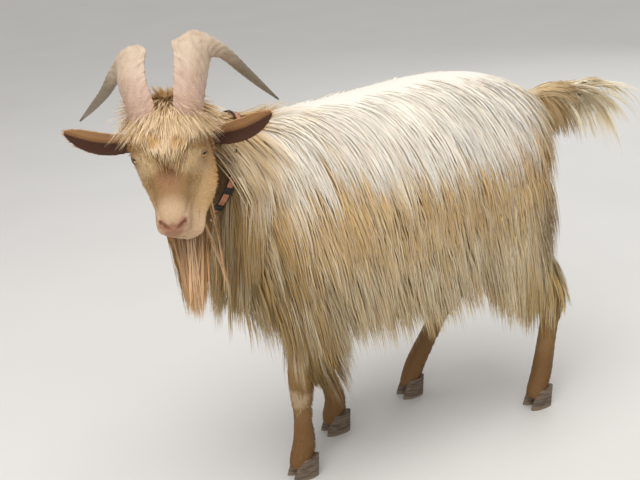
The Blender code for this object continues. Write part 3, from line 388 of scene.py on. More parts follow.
def eye_turn(side):
    """Turns a form so that its Z runs out of the eye and its X along the opening between the lids."""
    out = eye_axis(side)
    lie = Vector((1, 0, 0.43))
    along = (lie - out * lie.dot(out)).normalized()
    return Matrix((along, out.cross(along), out)).transposed()


def ball(centre, radii, turn, segments=32, rings=20):
    """A squashed, turned ball as a bmesh."""
    bm = bmesh.new()
    bmesh.ops.create_uvsphere(bm, u_segments=segments, v_segments=rings, radius=1.0)
    matrix = Matrix.Translation(centre) @ turn.to_4x4() @ Matrix.Diagonal(radii).to_4x4()
    bmesh.ops.transform(bm, matrix=matrix, verts=bm.verts)
    return bm


def on_side(place, side):
    """A place on the goat's left side, or its mirror on the right."""
    return Vector((place[0], side * place[1], place[2]))


# %% [markdown]
# An ear is a leaf that is cupped along its length, so it is lofted from bent strips: an inner row of
# points and an outer row a few millimetres behind it. It carries a fold along its lower edge and opens
# forward.

# %% Ears
EAR_OPENING = (upright(1, 0, 0) * -0.38 - upright(0, 1, 0) * 0.92).normalized()
EAR_ROOT_RISE, EAR_TIP_RISE, EAR_SAG, EAR_THICK = -0.066, -0.034, 0.012, 0.0036
# Profile: share of the ear's length, half width, depth of the cup
EAR_PROFILE = [(0.0, 0.015, 0.018), (0.18, 0.019, 0.016), (0.38, 0.0225, 0.012), (0.60, 0.0235, 0.010),
               (0.80, 0.0200, 0.007), (0.93, 0.012, 0.004), (1.0, 0.004, 0.001)]


def ear_ends(side):
    """Where an ear leaves the skull, and where it ends."""
    return upright(EAR_ROOT_RISE, 0.037, side * 0.046), upright(EAR_TIP_RISE, 0.009, side * 0.178)


def ear_form(side, across=21):
    """A leaf-shaped ear, cupped forward, in the head's frame."""
    root, tip = ear_ends(side)
    up_way, opening = upright(1, 0, 0), EAR_OPENING
    along = (tip - root).normalized()
    width_way = along.cross(opening).normalized()
    opening = width_way.cross(along).normalized()
    rings = []
    for share, half, cup in spline(EAR_PROFILE, 34):
        centre = root.lerp(tip, share) - up_way * EAR_SAG * math.sin(math.pi * share)
        inner, outer = [], []
        for n in range(across):
            s = -1 + 2 * n / (across - 1)
            thick = EAR_THICK * (1 - 0.20 * abs(s)) * (1 - 0.2 * share)
            point = centre + width_way * half * s + opening * cup * (s * s - 0.5)
            inner.append(point + opening * thick / 2)
            outer.append(point - opening * thick / 2)
        rings.append(inner + outer[::-1])
    return loft(rings)


# %% [markdown]
# The skull, both ears, and two balls for the lids are melted together. The nostrils are cut first, so the
# melting rounds their rims.

# %% Melt the head
HEAD_VOXEL, HEAD_SMOOTHING = 0.00145, 3
LID_THICK = 0.0023
NOSTRIL_BALLS = [((0.2210, 0.0125, -0.0315), (0.0118, 0.0026, 0.0050)),
                 ((0.2145, 0.0195, -0.0310), (0.0042, 0.0034, 0.0050))]
NOSTRIL_TURN, NOSTRIL_TILT = math.radians(-46), math.radians(10)
skull = add_piece("skull", mesh_from("skull", loft([skull_ring(*row, 64) for row in spline(SKULL, 72)])))
for side in (1, -1):
    slope = Matrix.Rotation(side * NOSTRIL_TURN, 3, "Z") @ Matrix.Rotation(NOSTRIL_TILT, 3, "Y")
    for place, radii in NOSTRIL_BALLS:
        cutter = ball(on_side(place, side), radii, slope)
        boolean(skull, add_piece("nostril", mesh_from("nostril", cutter)), "DIFFERENCE")
core = bmesh.new()
core.from_mesh(skull.data)
lids = [ball(on_side(EYE_PLACE, side), Vector((1, 1, 1)) * (EYE_RADIUS + LID_THICK), eye_turn(side))
        for side in (1, -1)]
bpy.data.objects.remove(skull)
head = melted("head", [core, ear_form(1), ear_form(-1)] + lids, HEAD_VOXEL, HEAD_SMOOTHING)
print("head skin", len(head.data.polygons), "faces")

# %% [markdown]
# ## Lips, lids and folds
# Details smaller than a centimetre are drawn with strokes, as a sculptor would: a stroke is a line on the
# face, a width, and how far the skin sinks or swells along it. Every point near the line moves along its
# own normal, less and less with distance.

# %% Strokes on the face
def stroke(line, width, lift):
    """A line on the left half of the face, given by a few places, with its width and its height or depth."""
    return np.array(spline(line, 40)), width, lift


MOUTH = [(0.2295, 0.0, -0.0570), (0.222, 0.0145, -0.0575), (0.206, 0.0250, -0.0588), (0.185, 0.0275, -0.0600),
         (0.166, 0.0310, -0.0580), (0.154, 0.0345, -0.0545)]
PHILTRUM = [(0.2300, 0, -0.0400), (0.2310, 0, -0.0480), (0.2300, 0, -0.0565)]
TEAR_LINE = [EYE_PLACE + eye_turn(1) @ Vector(place)
             for place in ((0.0125, 0.001, 0.008), (0.021, 0.004, 0.004), (0.030, 0.008, 0.0))]


def beside(line, rise):
    """The same line, a little higher or lower."""
    return [(x, y, z + rise) for x, y, z in line]


def lid_line(reach, rise, bend):
    """A curve over or under the left eye, in steps of its opening."""
    turn = eye_turn(1)
    line = []
    for s in (-1.0, -0.5, 0.0, 0.5, 1.0):
        line.append(EYE_PLACE + turn @ Vector((reach * s, bend * s * s - rise, 0.010)))
    return line


LIPS = [stroke(MOUTH, 0.0017, -0.0034),
        stroke(beside(MOUTH, 0.0058), 0.0045, 0.0011),
        stroke(beside(MOUTH[:-1], -0.0062), 0.0045, 0.0013),
        stroke(PHILTRUM, 0.0013, -0.0020)]
NOSE = [stroke([(0.228, 0.004, -0.0385), (0.2225, 0.0190, -0.0430), (0.2110, 0.0235, -0.0380)],
               0.0028, 0.0014),
        stroke([(0.2200, 0.0060, -0.0270), (0.2130, 0.0150, -0.0270), (0.2060, 0.0220, -0.0310)],
               0.0030, 0.0013),
        stroke([(0.206, 0.021, -0.0250), (0.190, 0.0255, -0.0300), (0.170, 0.0300, -0.0360)],
               0.0045, -0.0012)]
LIDS = [stroke(lid_line(0.0150, 0.0125, 0.0060), 0.0014, -0.0011),
        stroke(lid_line(0.0150, 0.0160, 0.0060), 0.0030, 0.0011),
        stroke(lid_line(0.0140, -0.0105, -0.0050), 0.0013, -0.0009),
        stroke(TEAR_LINE, 0.0020, -0.0014)]
CHEEKS = [stroke([(0.105, 0.0500, -0.0600), (0.130, 0.0430, -0.0600), (0.150, 0.0375, -0.0590)],
                 0.0050, 0.0016),
          stroke([(0.110, 0.0540, -0.0790), (0.130, 0.0460, -0.0760), (0.156, 0.0380, -0.0690)],
                 0.0055, -0.0016)]


def draw_strokes(mesh, strokes):
    """Sinks or lifts the skin along each stroke, on both halves of the face."""
    for side in (1, -1):
        for line, width, lift in strokes:
            places, ways = points_of(mesh), normals_of(mesh)
            mirrored = line * np.array((1, side, 1))
            near = np.where(np.abs(places - mirrored.mean(0)).max(1) < 0.05)[0]
            gaps = np.sqrt(((places[near][:, None] - mirrored[None]) ** 2).sum(2).min(1))
            share = lift * np.exp(-(gaps / width) ** 2) * (0.5 if np.abs(line[:, 1]).max() < 0.001 else 1.0)
            places[near] += ways[near] * share[:, None]
            move_points(mesh, places)
    return len(strokes)


print("strokes on the face:", draw_strokes(head.data, LIPS + NOSE + LIDS + CHEEKS))

JAW_SWING, JAW_LINE = 0.029, (-0.046, -0.076)


def swing_jaw(mesh, amount):
    """The goat is chewing, so its lower jaw stands a little to its left."""
    places = points_of(mesh)
    share = (step_up(places[:, 0], 0.035, 0.160) * step_up(places[:, 2], *JAW_LINE)
             * (np.abs(places[:, 1]) < 0.095))
    places[:, 1] += amount * share
    move_points(mesh, places)


swing_jaw(head.data, JAW_SWING)

# %% [markdown]
# ## Lids
# A goat's eye opens in an almond. First a hollow for the eyeball is cut inside the lids, then the almond
# is cut through to it, which leaves two lids of a real lid's thickness lying on the ball.

# %% Cut the eye openings
OPENING_LONG, OPENING_BELOW, OPENING_ABOVE = 0.0086, 0.0060, 0.0056
BALL_ROOM = 0.0002


def almond(side):
    """A cutter with two pointed corners that widens outward along the eye's axis."""
    turn, centre = eye_turn(side), on_side(EYE_PLACE, side)
    rings = []
    for out, scale in ((0.0045, 0.80), (0.013, 1.0), (0.022, 1.25)):
        ring = []
        for c, s in circle(40):
            reach = OPENING_BELOW if side * s > 0 else OPENING_ABOVE
            y = s * reach * (1 - abs(c) ** 2.6) ** 0.35
            ring.append(centre + turn @ Vector((c * OPENING_LONG * scale, y * scale, out)))
        rings.append(ring)
    return loft(rings)


for side in (1, -1):
    room = Vector((1, 1, 1)) * (EYE_RADIUS + BALL_ROOM)
    hollow = ball(on_side(EYE_PLACE, side), room, eye_turn(side), 48, 32)
    boolean(head, add_piece("hollow", mesh_from("hollow", hollow)), "DIFFERENCE")
    boolean(head, add_piece("almond", mesh_from("almond", almond(side))), "DIFFERENCE")
print("eyes opened")

# %% [markdown]
# ## One skin
# The head is turned into its place on the neck and joined to the body, so that no seam can show between
# them. The crease that the join leaves is rubbed smooth.

# %% Join head and body
CREASE_REACH, NAPE_REACH = 0.016, 0.22
head.data.transform(HEAD)
head_tree = tree_of(head.data)
body_tree = tree_of(hide.data)
boolean(hide, head, "UNION")
bm = bmesh.new()
bm.from_mesh(hide.data)
crease = [v for v in bm.verts if (v.co - POLL).length < NAPE_REACH
          and head_tree.find_nearest(v.co)[3] < CREASE_REACH
          and body_tree.find_nearest(v.co)[3] < CREASE_REACH]
for _ in range(12):
    bmesh.ops.smooth_vert(bm, verts=crease, factor=0.5, use_axis_x=True, use_axis_y=True, use_axis_z=True)
bmesh.ops.triangulate(bm, faces=bm.faces)
bm.to_mesh(hide.data)
bm.free()
shade_smooth(hide.data)
print("one skin of", len(hide.data.polygons), "triangles,", len(crease), "points rubbed smooth")

# %% [markdown]
# ## Markings
# Colour on an animal is a map over its body, not a property of single hairs. So the markings are one node
# group that turns a place on the goat into a colour, and both the skin and every tuft ask it, the tuft
# with the place of its root. Each region is a colour and a few soft limits: a plane that it lies beyond,
# or a ball that it lies in. Noise bends the place first, so no edge is straight.

# %% Paints of the coat
COLLAR_CENTRE = Vector((-0.3203, 0.0, 0.6657))
COLLAR_WAY = Vector((-0.904, 0.0, 0.427)).normalized()
CREAM = (0.755, 0.715, 0.645)
SAND = (0.53, 0.365, 0.172)
OAT = (0.49, 0.355, 0.165)
TAWNY = (0.30, 0.195, 0.085)
# Throat brown, deepened by painted shade under head and beard
UMBER_AND_SHADE = (0.22, 0.125, 0.050)
FRINGE_GOLD = (0.42, 0.29, 0.105)
BIB = (0.52, 0.395, 0.20)
RUSSET = (0.21, 0.110, 0.036)
SHIN = (0.155, 0.073, 0.022)
PALE_PATCH = (0.55, 0.43, 0.28)
FACE_TAN = (0.260, 0.154, 0.060)
BISCUIT = (0.235, 0.112, 0.046)
CHEEK = (0.465, 0.303, 0.145)
CREST = (0.55, 0.40, 0.22)
NOSE_CREAM = (0.49, 0.335, 0.210)
NOSE_PINK = (0.32, 0.140, 0.085)
LOCK_CREAM = (0.80, 0.63, 0.41)
LOCK_GOLD = (0.58, 0.35, 0.135)
BEARD_TAN = (0.150, 0.098, 0.032)
EAR_OUTER = (0.52, 0.29, 0.13)
EAR_TAN = (0.30, 0.140, 0.052)
# Dark inside the ear: partly its own dark skin, partly painted shade of the cup
EAR_DARK_AND_SHADE = (0.065, 0.022, 0.009)
LID_DARK = (0.19, 0.110, 0.070)
LINEN = (0.56, 0.47, 0.32)
TAIL_WHITE = (0.80, 0.73, 0.57)
# Painted shade for the creases of mouth, nostrils and philtrum
CREASE_SHADE = (0.085, 0.038, 0.026)
# Painted warm shade for the roots of the hair
WARM_ROOT_SHADE = (1.0, 0.86, 0.66)
STREAK_CREAM = (0.84, 0.74, 0.54)
STREAK_GOLD = (0.43, 0.275, 0.105)


def beyond(way, start, end):
    """A soft limit: full past the end, along a direction in the goat's coordinates."""
    return ("beyond", Vector(way), start, end)


def around(place, radius, soft=0.5):
    """A soft ball: full in its middle and gone at its radius."""
    return ("around", Vector(place), radius, radius * (1 - soft))


def on_head(way, start, end):
    """A soft limit along a direction of the head's own frame."""
    turned = HEAD.to_3x3() @ Vector(way)
    origin = turned.dot(POLL)
    return ("beyond", turned, start + origin, end + origin)


def in_head(place, radius, soft=0.5):
    """A soft ball at a place in the head's own frame."""
    return around(HEAD @ Vector(place), radius, soft)


# Each region: its colour, its strength, and its limits, laid one after another from the top
REGIONS = [(SAND, 0.90, [beyond((0, 0, -1), -0.690, -0.625)]),
           (LINEN, 0.75, [beyond((0, 0, -1), -0.560, -0.500)]),
           (FRINGE_GOLD, 0.75, [beyond((0, 0, -1), -0.43, -0.36)]),
           (OAT, 0.65, [beyond((1, 0, 0.3), 0.46, 0.56)]),
           (SAND, 0.80, [beyond((-1, 0, 0), 0.23, 0.31)]),
           (TAWNY, 0.88, [beyond((-1, 0, -0.35), 0.00, 0.10), beyond((0, 0, -1), -0.72, -0.64)]),
           (BIB, 0.60, [beyond((-1, 0, 0), 0.27, 0.33), beyond((0, 0, -1), -0.54, -0.47)]),
           # The throat in front of the collar: short brown hair, darkened further as painted shade under head
           # and beard
           (UMBER_AND_SHADE, 0.85, [beyond(COLLAR_WAY, 0.578, 0.590), beyond((-0.814, 0, -0.616), -0.172, -0.148),
                          beyond((0, 0, -1), -0.765, -0.735)]),
           (RUSSET, 0.90, [beyond((0, 0, -1), -0.285, -0.205)]),
           (SHIN, 0.75, [beyond((0, 0, -1), -0.17, -0.10)]),
           (PALE_PATCH, 0.55, [around((-0.262, -0.075, 0.190), 0.040)]),
           (TAWNY, 0.75, [beyond((1, 0, 0), 0.36, 0.39), beyond((0, 0, 1), 0.57, 0.61)]),
           (TAIL_WHITE, 0.90, [beyond((1, 0, 0), 0.410, 0.450), beyond((0, 0, 1), 0.57, 0.61)])]
FACE_REGIONS = [(CHEEK, 0.80, [on_head((0, 0, -1), 0.026, 0.050), on_head((1, 0, 0), 0.02, 0.06)]),
                (BISCUIT, 0.80, [in_head((0.118, 0, -0.008), 0.040, 0.8)]),
                (BISCUIT, 0.70, [in_head((0.150, 0, -0.014), 0.036, 0.8)]),
                (BEARD_TAN, 0.75, [on_head((0, 0, -1), 0.078, 0.098), on_head((1, 0, 0), 0.03, 0.06)]),
                (CREST, 0.85, [in_head((0.108, 0.034, -0.018), 0.034, 0.7)]),
                (CREST, 0.85, [in_head((0.108, -0.034, -0.018), 0.034, 0.7)]),
                (NOSE_CREAM, 0.85, [on_head((1, 0, 0), 0.165, 0.200)]),
                (LOCK_CREAM, 0.94, [in_head((-0.005, 0, -0.010), 0.100, 0.30)]),
                (LOCK_GOLD, 0.85, [in_head((0.040, -0.028, 0.002), 0.026, 0.7)]),
                (LOCK_GOLD, 0.85, [in_head((0.052, 0.022, 0.002), 0.022, 0.7)]),
                (NOSE_PINK, 0.85, [in_head((0.228, 0, -0.040), 0.021, 0.5)]),
                (NOSE_PINK, 0.75, [in_head((0.217, 0.016, -0.032), 0.012, 0.5)]),
                (NOSE_PINK, 0.75, [in_head((0.217, -0.016, -0.032), 0.012, 0.5)])]
EYE_FRONTS = [on_side(EYE_PLACE, side) + eye_axis(side) * 0.010 for side in (1, -1)]
for side, eye_front in zip((1, -1), EYE_FRONTS):
    below_eye = eye_front + Vector((0.016, 0, -0.014))
    FACE_REGIONS += [(EAR_OUTER, 0.9, [on_head(upright(0, 0, side), 0.060, 0.075)]),
                     (NOSE_CREAM, 0.55, [in_head(below_eye, 0.018, 0.6)]),
                     (LID_DARK, 0.80, [in_head(eye_front, 0.0094, 0.15)])]
print(len(REGIONS), "body regions and", len(FACE_REGIONS), "face regions")


# %% [markdown]
# A node group is a small machine with named inputs and outputs. The tool below writes one node after
# another, links it and hands back its output, so a recipe reads like a sum.

# %% Node tools
class Recipe:
    """Writes nodes into a tree."""

    def __init__(self, tree):
        self.tree = tree

    def node(self, kind, inputs=(), output=0, **settings):
        """One node with its settings and inputs (numbers, colours or other outputs), giving an output."""
        made = self.tree.nodes.new(kind)
        for key, value in settings.items():
            setattr(made, key, value)
        for key, value in dict(inputs).items():
            if isinstance(value, bpy.types.NodeSocket):
                self.tree.links.new(value, made.inputs[key])
            else:
                made.inputs[key].default_value = value
        return made.outputs[output]

    def sum(self, operation, *values):
        """A Math node."""
        return self.node("ShaderNodeMath", dict(enumerate(values)), operation=operation)

    def vector(self, operation, *values, output=0):
        """A Vector Math node."""
        return self.node("ShaderNodeVectorMath", dict(enumerate(values)), output, operation=operation)

    def ramp(self, value, start, end, low=0.0, high=1.0):
        """A soft ramp from low to high while the value runs from start to end."""
        return self.node("ShaderNodeMapRange", {0: value, 1: start, 2: end, 3: low, 4: high},
                         interpolation_type="SMOOTHSTEP")

    def mix(self, share, first, second, blend="MIX"):
        """A mix of two colours."""
        pick = [tuple(c) + (1.0,) if isinstance(c, tuple) else c for c in (first, second)]
        return self.node("ShaderNodeMix", {0: share, 6: pick[0], 7: pick[1]}, 2,
                         data_type="RGBA", blend_type=blend)

    def noise(self, place, scale, detail=2.0, output=0):
        """A noise pattern."""
        return self.node("ShaderNodeTexNoise", {"Vector": place, "Scale": scale, "Detail": detail}, output)

    def fact(self, label, output=2):
        """A fact that was stored with each point: a number, or a place where the output is 1."""
        return self.node("ShaderNodeAttribute", output=output, attribute_name=label)


def limit_node(recipe, place, limit):
    """The share of one soft limit at a place."""
    kind, where, first, last = limit
    measure = "DOT_PRODUCT" if kind == "beyond" else "DISTANCE"
    return recipe.ramp(recipe.vector(measure, place, tuple(where), output=1), first, last)


def paint_regions(recipe, place, colour, regions):
    """Lays one region after another over a colour."""
    for paint, strength, limits in regions:
        share = strength
        for limit in limits:
            share = recipe.sum("MULTIPLY", share, limit_node(recipe, place, limit))
        colour = recipe.mix(share, colour, paint)
    return colour


# %% [markdown]
# The head needs its own list, because there brown, biscuit and cream follow the face. The group's second
# input says how far a place belongs to the head.

# %% Markings group
def markings_group():
    """The node group: a place on the goat in, its colour out."""
    group = bpy.data.node_groups.new("goat_markings", "ShaderNodeTree")
    group.interface.new_socket("Place", in_out="INPUT", socket_type="NodeSocketVector")
    group.interface.new_socket("Head", in_out="INPUT", socket_type="NodeSocketFloat")
    group.interface.new_socket("Colour", in_out="OUTPUT", socket_type="NodeSocketColor")
    recipe = Recipe(group)
    given = group.nodes.new("NodeGroupInput")
    start = given.outputs["Place"]
    bend = recipe.noise(start, 9.0, 3.0, output=1)
    bend = recipe.vector("SUBTRACT", bend, (0.5, 0.5, 0.5))
    place = recipe.vector("ADD", start, recipe.vector("MULTIPLY", bend, (0.10, 0.10, 0.10)))
    body = paint_regions(recipe, place, CREAM, REGIONS)
    finer = recipe.vector("ADD", start, recipe.vector("MULTIPLY", bend, (0.02, 0.02, 0.02)))
    face = paint_regions(recipe, finer, FACE_TAN, FACE_REGIONS)
    colour = recipe.mix(given.outputs["Head"], body, face)
    end = group.nodes.new("NodeGroupOutput")
    group.links.new(colour, end.inputs["Colour"])
    return group


MARKINGS = markings_group()
print("markings made of", len(MARKINGS.nodes), "nodes")


# %% [markdown]
# ## Skin and hair finishes
# Skin shows only on nose, lips, lids and inside the ears; elsewhere it is the ground between tufts. Hair
# is matt and no two wisps are the same. Shade is painted along each tuft: its root is warmed, and its
# colour is darkened or lightened a little from root to tip, for the shade deep in the coat; the beard's
# paler tip is also its own colour. A tuft carries four facts for this: its root's place, how far along it
# a point is, and two random numbers, one for the wisp and one for the tuft. The random numbers also move
# the place that it asks for a little, so colours mingle at the edge of a marking.

# %% Finishes of skin and coat
def new_finish(name, roughness, **sockets):
    """A Principled material, a recipe for its nodes, and its shader."""
    made = bpy.data.materials.new(name)
    made.use_nodes = True
    shader = made.node_tree.nodes["Principled BSDF"]
    shader.inputs["Roughness"].default_value = roughness
    for key, value in sockets.items():
        shader.inputs[key.replace("_", " ")].default_value = value
    return made, Recipe(made.node_tree), shader


def goat_place(recipe):
    """Where a point is in the goat's coordinates."""
    spot = recipe.node("ShaderNodeNewGeometry")
    return recipe.vector("SUBTRACT", spot, tuple(SHIFT))


def markings_node(recipe, place, head_share):
    """The markings at a place."""
    made = recipe.tree.nodes.new("ShaderNodeGroup")
    made.node_tree = MARKINGS
    recipe.tree.links.new(place, made.inputs["Place"])
    if isinstance(head_share, bpy.types.NodeSocket):
        recipe.tree.links.new(head_share, made.inputs["Head"])
    else:
        made.inputs["Head"].default_value = head_share
    return made.outputs["Colour"]


def bump(recipe, shader, height, strength, distance):
    """Small relief on a finish."""
    normal = recipe.node("ShaderNodeBump", {"Height": height, "Strength": strength, "Distance": distance})
    recipe.tree.links.new(normal, shader.inputs["Normal"])


def skin_finish():
    """The short, downy skin, with painted shade in the muzzle's folds and inside the ears, whose skin is
    dark.
    """
    made, recipe, shader = new_finish("goat_skin", 0.62, Specular_IOR_Level=0.35)
    place = goat_place(recipe)
    inside, on_skull, folded = (recipe.fact(label) for label in ("in_ear", "on_skull", "folded"))
    colour = recipe.mix(recipe.ramp(inside, 0.0, 0.4), markings_node(recipe, place, on_skull), EAR_TAN)
    # Lower inside of the ear: its dark skin, and painted shade of the cup
    colour = recipe.mix(recipe.ramp(inside, 0.50, 0.95), colour, EAR_DARK_AND_SHADE)
    # Painted shade in the creases of mouth, nostrils and philtrum
    colour = recipe.mix(recipe.ramp(folded, 0.15, 0.9, 0.0, 0.85), colour, CREASE_SHADE)
    down = recipe.noise(recipe.vector("MULTIPLY", place, (500.0, 500.0, 160.0)), 1.0, 3.0)
    colour = recipe.mix(recipe.ramp(down, 0.3, 0.7, 0.0, 0.15), colour, (0.60, 0.52, 0.45), "MULTIPLY")
    recipe.tree.links.new(colour, shader.inputs["Base Color"])
    bump(recipe, shader, down, 0.25, 0.0006)
    return made


def hair_finish(name, root_shade, tip_shade, contrast, streaks=0.0, head_share=0.0, mingle=0.024):
    """Tufts: the markings at the root, changed from wisp to wisp, with shade painted from root to tip."""
    made, recipe, shader = new_finish(name, 0.62, Specular_IOR_Level=0.12)
    root = recipe.fact("root", 1)
    along, wisp, tuft = (recipe.fact(label) for label in ("along", "wisp", "tuft"))
    dice = recipe.node("ShaderNodeCombineXYZ", {"X": wisp, "Y": tuft, "Z": wisp})
    astray = recipe.vector("SUBTRACT", dice, (0.5, 0.5, 0.5))
    astray = recipe.vector("ADD", root, recipe.vector("MULTIPLY", astray, (mingle, mingle, -mingle)))
    colour = markings_node(recipe, astray, head_share)
    low = recipe.sum("MULTIPLY", limit_node(recipe, root, beyond((-0.3, 0, -1), -0.71, -0.65)), streaks)
    pale = recipe.sum("MULTIPLY", recipe.ramp(wisp, 0.32, 0.08), low)
    gold = recipe.sum("MULTIPLY", recipe.ramp(wisp, 0.66, 0.92), low)
    colour = recipe.mix(gold, recipe.mix(pale, colour, STREAK_CREAM), STREAK_GOLD)
    streak = recipe.sum("ADD", recipe.sum("MULTIPLY", wisp, 0.7), recipe.sum("MULTIPLY", tuft, 0.3))
    shade = recipe.ramp(streak, 0.1, 0.9, 1.0 - contrast, 1.0 + contrast)
    # Painted shade from root to tip: root_shade and tip_shade scale the colour along the tuft
    shade = recipe.sum("MULTIPLY", shade, recipe.ramp(along, 0.0, 0.8, root_shade, tip_shade))
    # Painted warm shade: the colour is multiplied by a warm tint towards the root
    colour = recipe.mix(recipe.ramp(along, 0.7, 0.0, 0.0, 0.40), colour, WARM_ROOT_SHADE, "MULTIPLY")
    depth = recipe.ramp(tuft, 0.0, 1.0, 0.88, 1.12)
    tint = recipe.node("ShaderNodeHueSaturation", {"Hue": 0.5, "Saturation": depth, "Value": shade,
                                                   "Color": colour})
    recipe.tree.links.new(tint, shader.inputs["Base Color"])
    return made


SKIN = skin_finish()
# The two numbers after each name are painted shade at root and tip; the beard's paler tip is also its own
# colour
LONG_HAIR = hair_finish("long_hair", 1.08, 1.02, 0.08, 0.45)
TAIL_HAIR = hair_finish("tail_hair", 1.22, 1.28, 0.08)
BEARD_HAIR = hair_finish("beard_hair", 0.80, 1.60, 0.16, 0.10, 1.0)
LOCK_HAIR = hair_finish("forelock_hair", 1.0, 1.03, 0.05, 0.10, 1.0, 0.012)
FACE_HAIR = hair_finish("face_hair", 0.84, 1.16, 0.34, 0.0, 1.0, 0.018)
SHORT_HAIR = hair_finish("short_hair", 0.94, 1.04, 0.04)
hide.data.materials.clear()
hide.data.materials.append(SKIN)
print("finishes:", SKIN.name, LONG_HAIR.name, SHORT_HAIR.name)

# %% [markdown]
# ## Where hair may grow
# Roots are scattered over the skin's triangles by area, thinned or thickened by a density that each part
# of the coat gives. The skin is sorted into parts once: head, ears, neck, trunk, tail and legs.

# %% Parts of the skin
HEAD_TURNER = np.array(HEAD.to_3x3())
hide.data.calc_loop_triangles()
corner_ids = np.zeros(len(hide.data.loop_triangles) * 3, int)
hide.data.loop_triangles.foreach_get("vertices", corner_ids)
corners = points_of(hide.data)[corner_ids].reshape(-1, 3, 3)
crosses = np.cross(corners[:, 1] - corners[:, 0], corners[:, 2] - corners[:, 0])
double_area = np.linalg.norm(crosses, axis=1)
facings = crosses / np.maximum(double_area, 1e-12)[:, None]
middles = corners.mean(1)
in_face = to_head(middles)
skin_tree = tree_of(hide.data)
from_collar = (middles - np.array(COLLAR_CENTRE)) @ np.array(COLLAR_WAY)


def ear_share(places):
    """How far out along its ear a place in the head's frame is, below 0 where it isn't on an ear."""
    best = np.full(len(places), -1.0)
    for side in (1, -1):
        root, tip = (np.array(end) for end in ear_ends(side))
        way = tip - root
        share = (places - root) @ way / (way @ way)
        off = np.linalg.norm(places - root - share[:, None] * way, axis=1)
        best = np.where((share > 0.12) & (off < 0.040), share, best)
    return best


HEAD_REACH, SEAM_BLEND = 0.27, 0.020
ear_at = ear_share(in_face)
ear_cup = facings @ HEAD_TURNER @ np.array(EAR_OPENING)
head_share = np.zeros(len(middles))
for n in np.where(np.linalg.norm(in_face, axis=1) < HEAD_REACH)[0]:
    spot = Vector(middles[n])
    head_share[n] = 0.5 + (body_tree.find_nearest(spot)[3] - head_tree.find_nearest(spot)[3]) / SEAM_BLEND
is_head = head_share > 0.5
skull_share = np.zeros(len(hide.data.vertices))
skull_share[corner_ids] = np.repeat(np.clip(head_share, 0, 1), 3)
store(hide.data, "on_skull", skull_share)
NOSTRIL = [(0.2130, 0.0210, -0.0300), (0.2215, 0.0125, -0.0290), (0.2300, 0.0040, -0.0330)]
FOLDS = [(MOUTH, 0.0016), (NOSTRIL, 0.0022), (PHILTRUM, 0.0013)]
skin_places = to_head(points_of(hide.data))
# How close each point lies to a fold of the muzzle, for the shade painted there
folded = np.zeros(len(skin_places))
muzzle = np.where((np.linalg.norm(skin_places, axis=1) < HEAD_REACH) & (skin_places[:, 0] > 0.14))[0]
for line, width in FOLDS:
    for side in (1, -1):
        fold = np.array(spline(line, 40)) * np.array((1, side, 1))
        fold[:, 1] += JAW_SWING * step_up(fold[:, 2], *JAW_LINE)
        gaps = np.sqrt(((skin_places[muzzle][:, None] - fold[None]) ** 2).sum(2).min(1))
        folded[muzzle] = np.maximum(folded[muzzle], np.exp(-(gaps / width) ** 2))
store(hide.data, "folded", folded)
is_ear = is_head & (ear_at > 0)
cup_share = np.zeros(len(hide.data.vertices))
inside_ear = is_ear & (ear_cup > 0.1) & (ear_at > 0.16)
ear_height = in_face @ np.array(upright(1, 0, 0))
ear_line = EAR_ROOT_RISE + (EAR_TIP_RISE - EAR_ROOT_RISE) * ear_at
ear_line -= EAR_SAG * np.sin(np.pi * np.clip(ear_at, 0, 1))
# The inside darkens below a line along the ear: partly its own dark skin, partly painted shade
ear_shade = 0.18 + 0.90 * step_up(ear_line - ear_height, -0.008, 0.006)
cup_share[corner_ids.reshape(-1, 3)[inside_ear].ravel()] = np.repeat(ear_shade[inside_ear], 3)
store(hide.data, "in_ear", cup_share)
is_tail = ~is_head & (middles[:, 0] > 0.385) & (middles[:, 2] > 0.60) & (np.abs(middles[:, 1]) < 0.05)
is_neck = ~is_head & ((middles - np.array((-0.250, 0, 0.740))) @ np.array((-0.958, 0, 0.284)) > 0)
is_leg = (~is_head & (np.abs(middles[:, 1]) > 0.02)
          & ((middles[:, 2] < 0.33) | (middles[:, 2] < 0.375) & (np.abs(facings[:, 2]) < 0.80)))
is_trunk = ~(is_head | is_tail | is_neck | is_leg)
for label, part in (("head", is_head), ("neck", is_neck), ("trunk", is_trunk), ("legs", is_leg)):
    print("skin of the", label, int(double_area[part].sum() * 5e3), "cm2")

# %% [markdown]
# ## How a wisp lies
# Long hair doesn't grow hair by hair: it falls in wisps whose tips run together. A wisp is one guide
# line. It leaves the skin along the lie of the coat, sinks under its own weight, rests on whatever body
# is below it and hangs free past the belly. The tufts of the wisp start round its root and close in on
# its line.

# %% Lay the guide lines
DOWN = Vector((0, 0, -1))
LINE_POINTS = 7


def scatter(count, density, rng):
    """Random places on the skin, with the way it faces there."""
    weight = double_area * density
    chosen = rng.choice(len(weight), count, p=weight / weight.sum())
    a, b = rng.random((2, count))
    over = a + b > 1
    a[over], b[over] = 1 - a[over], 1 - b[over]
    first, second, third = corners[chosen].transpose(1, 0, 2)
    return first + a[:, None] * (second - first) + b[:, None] * (third - first), facings[chosen]


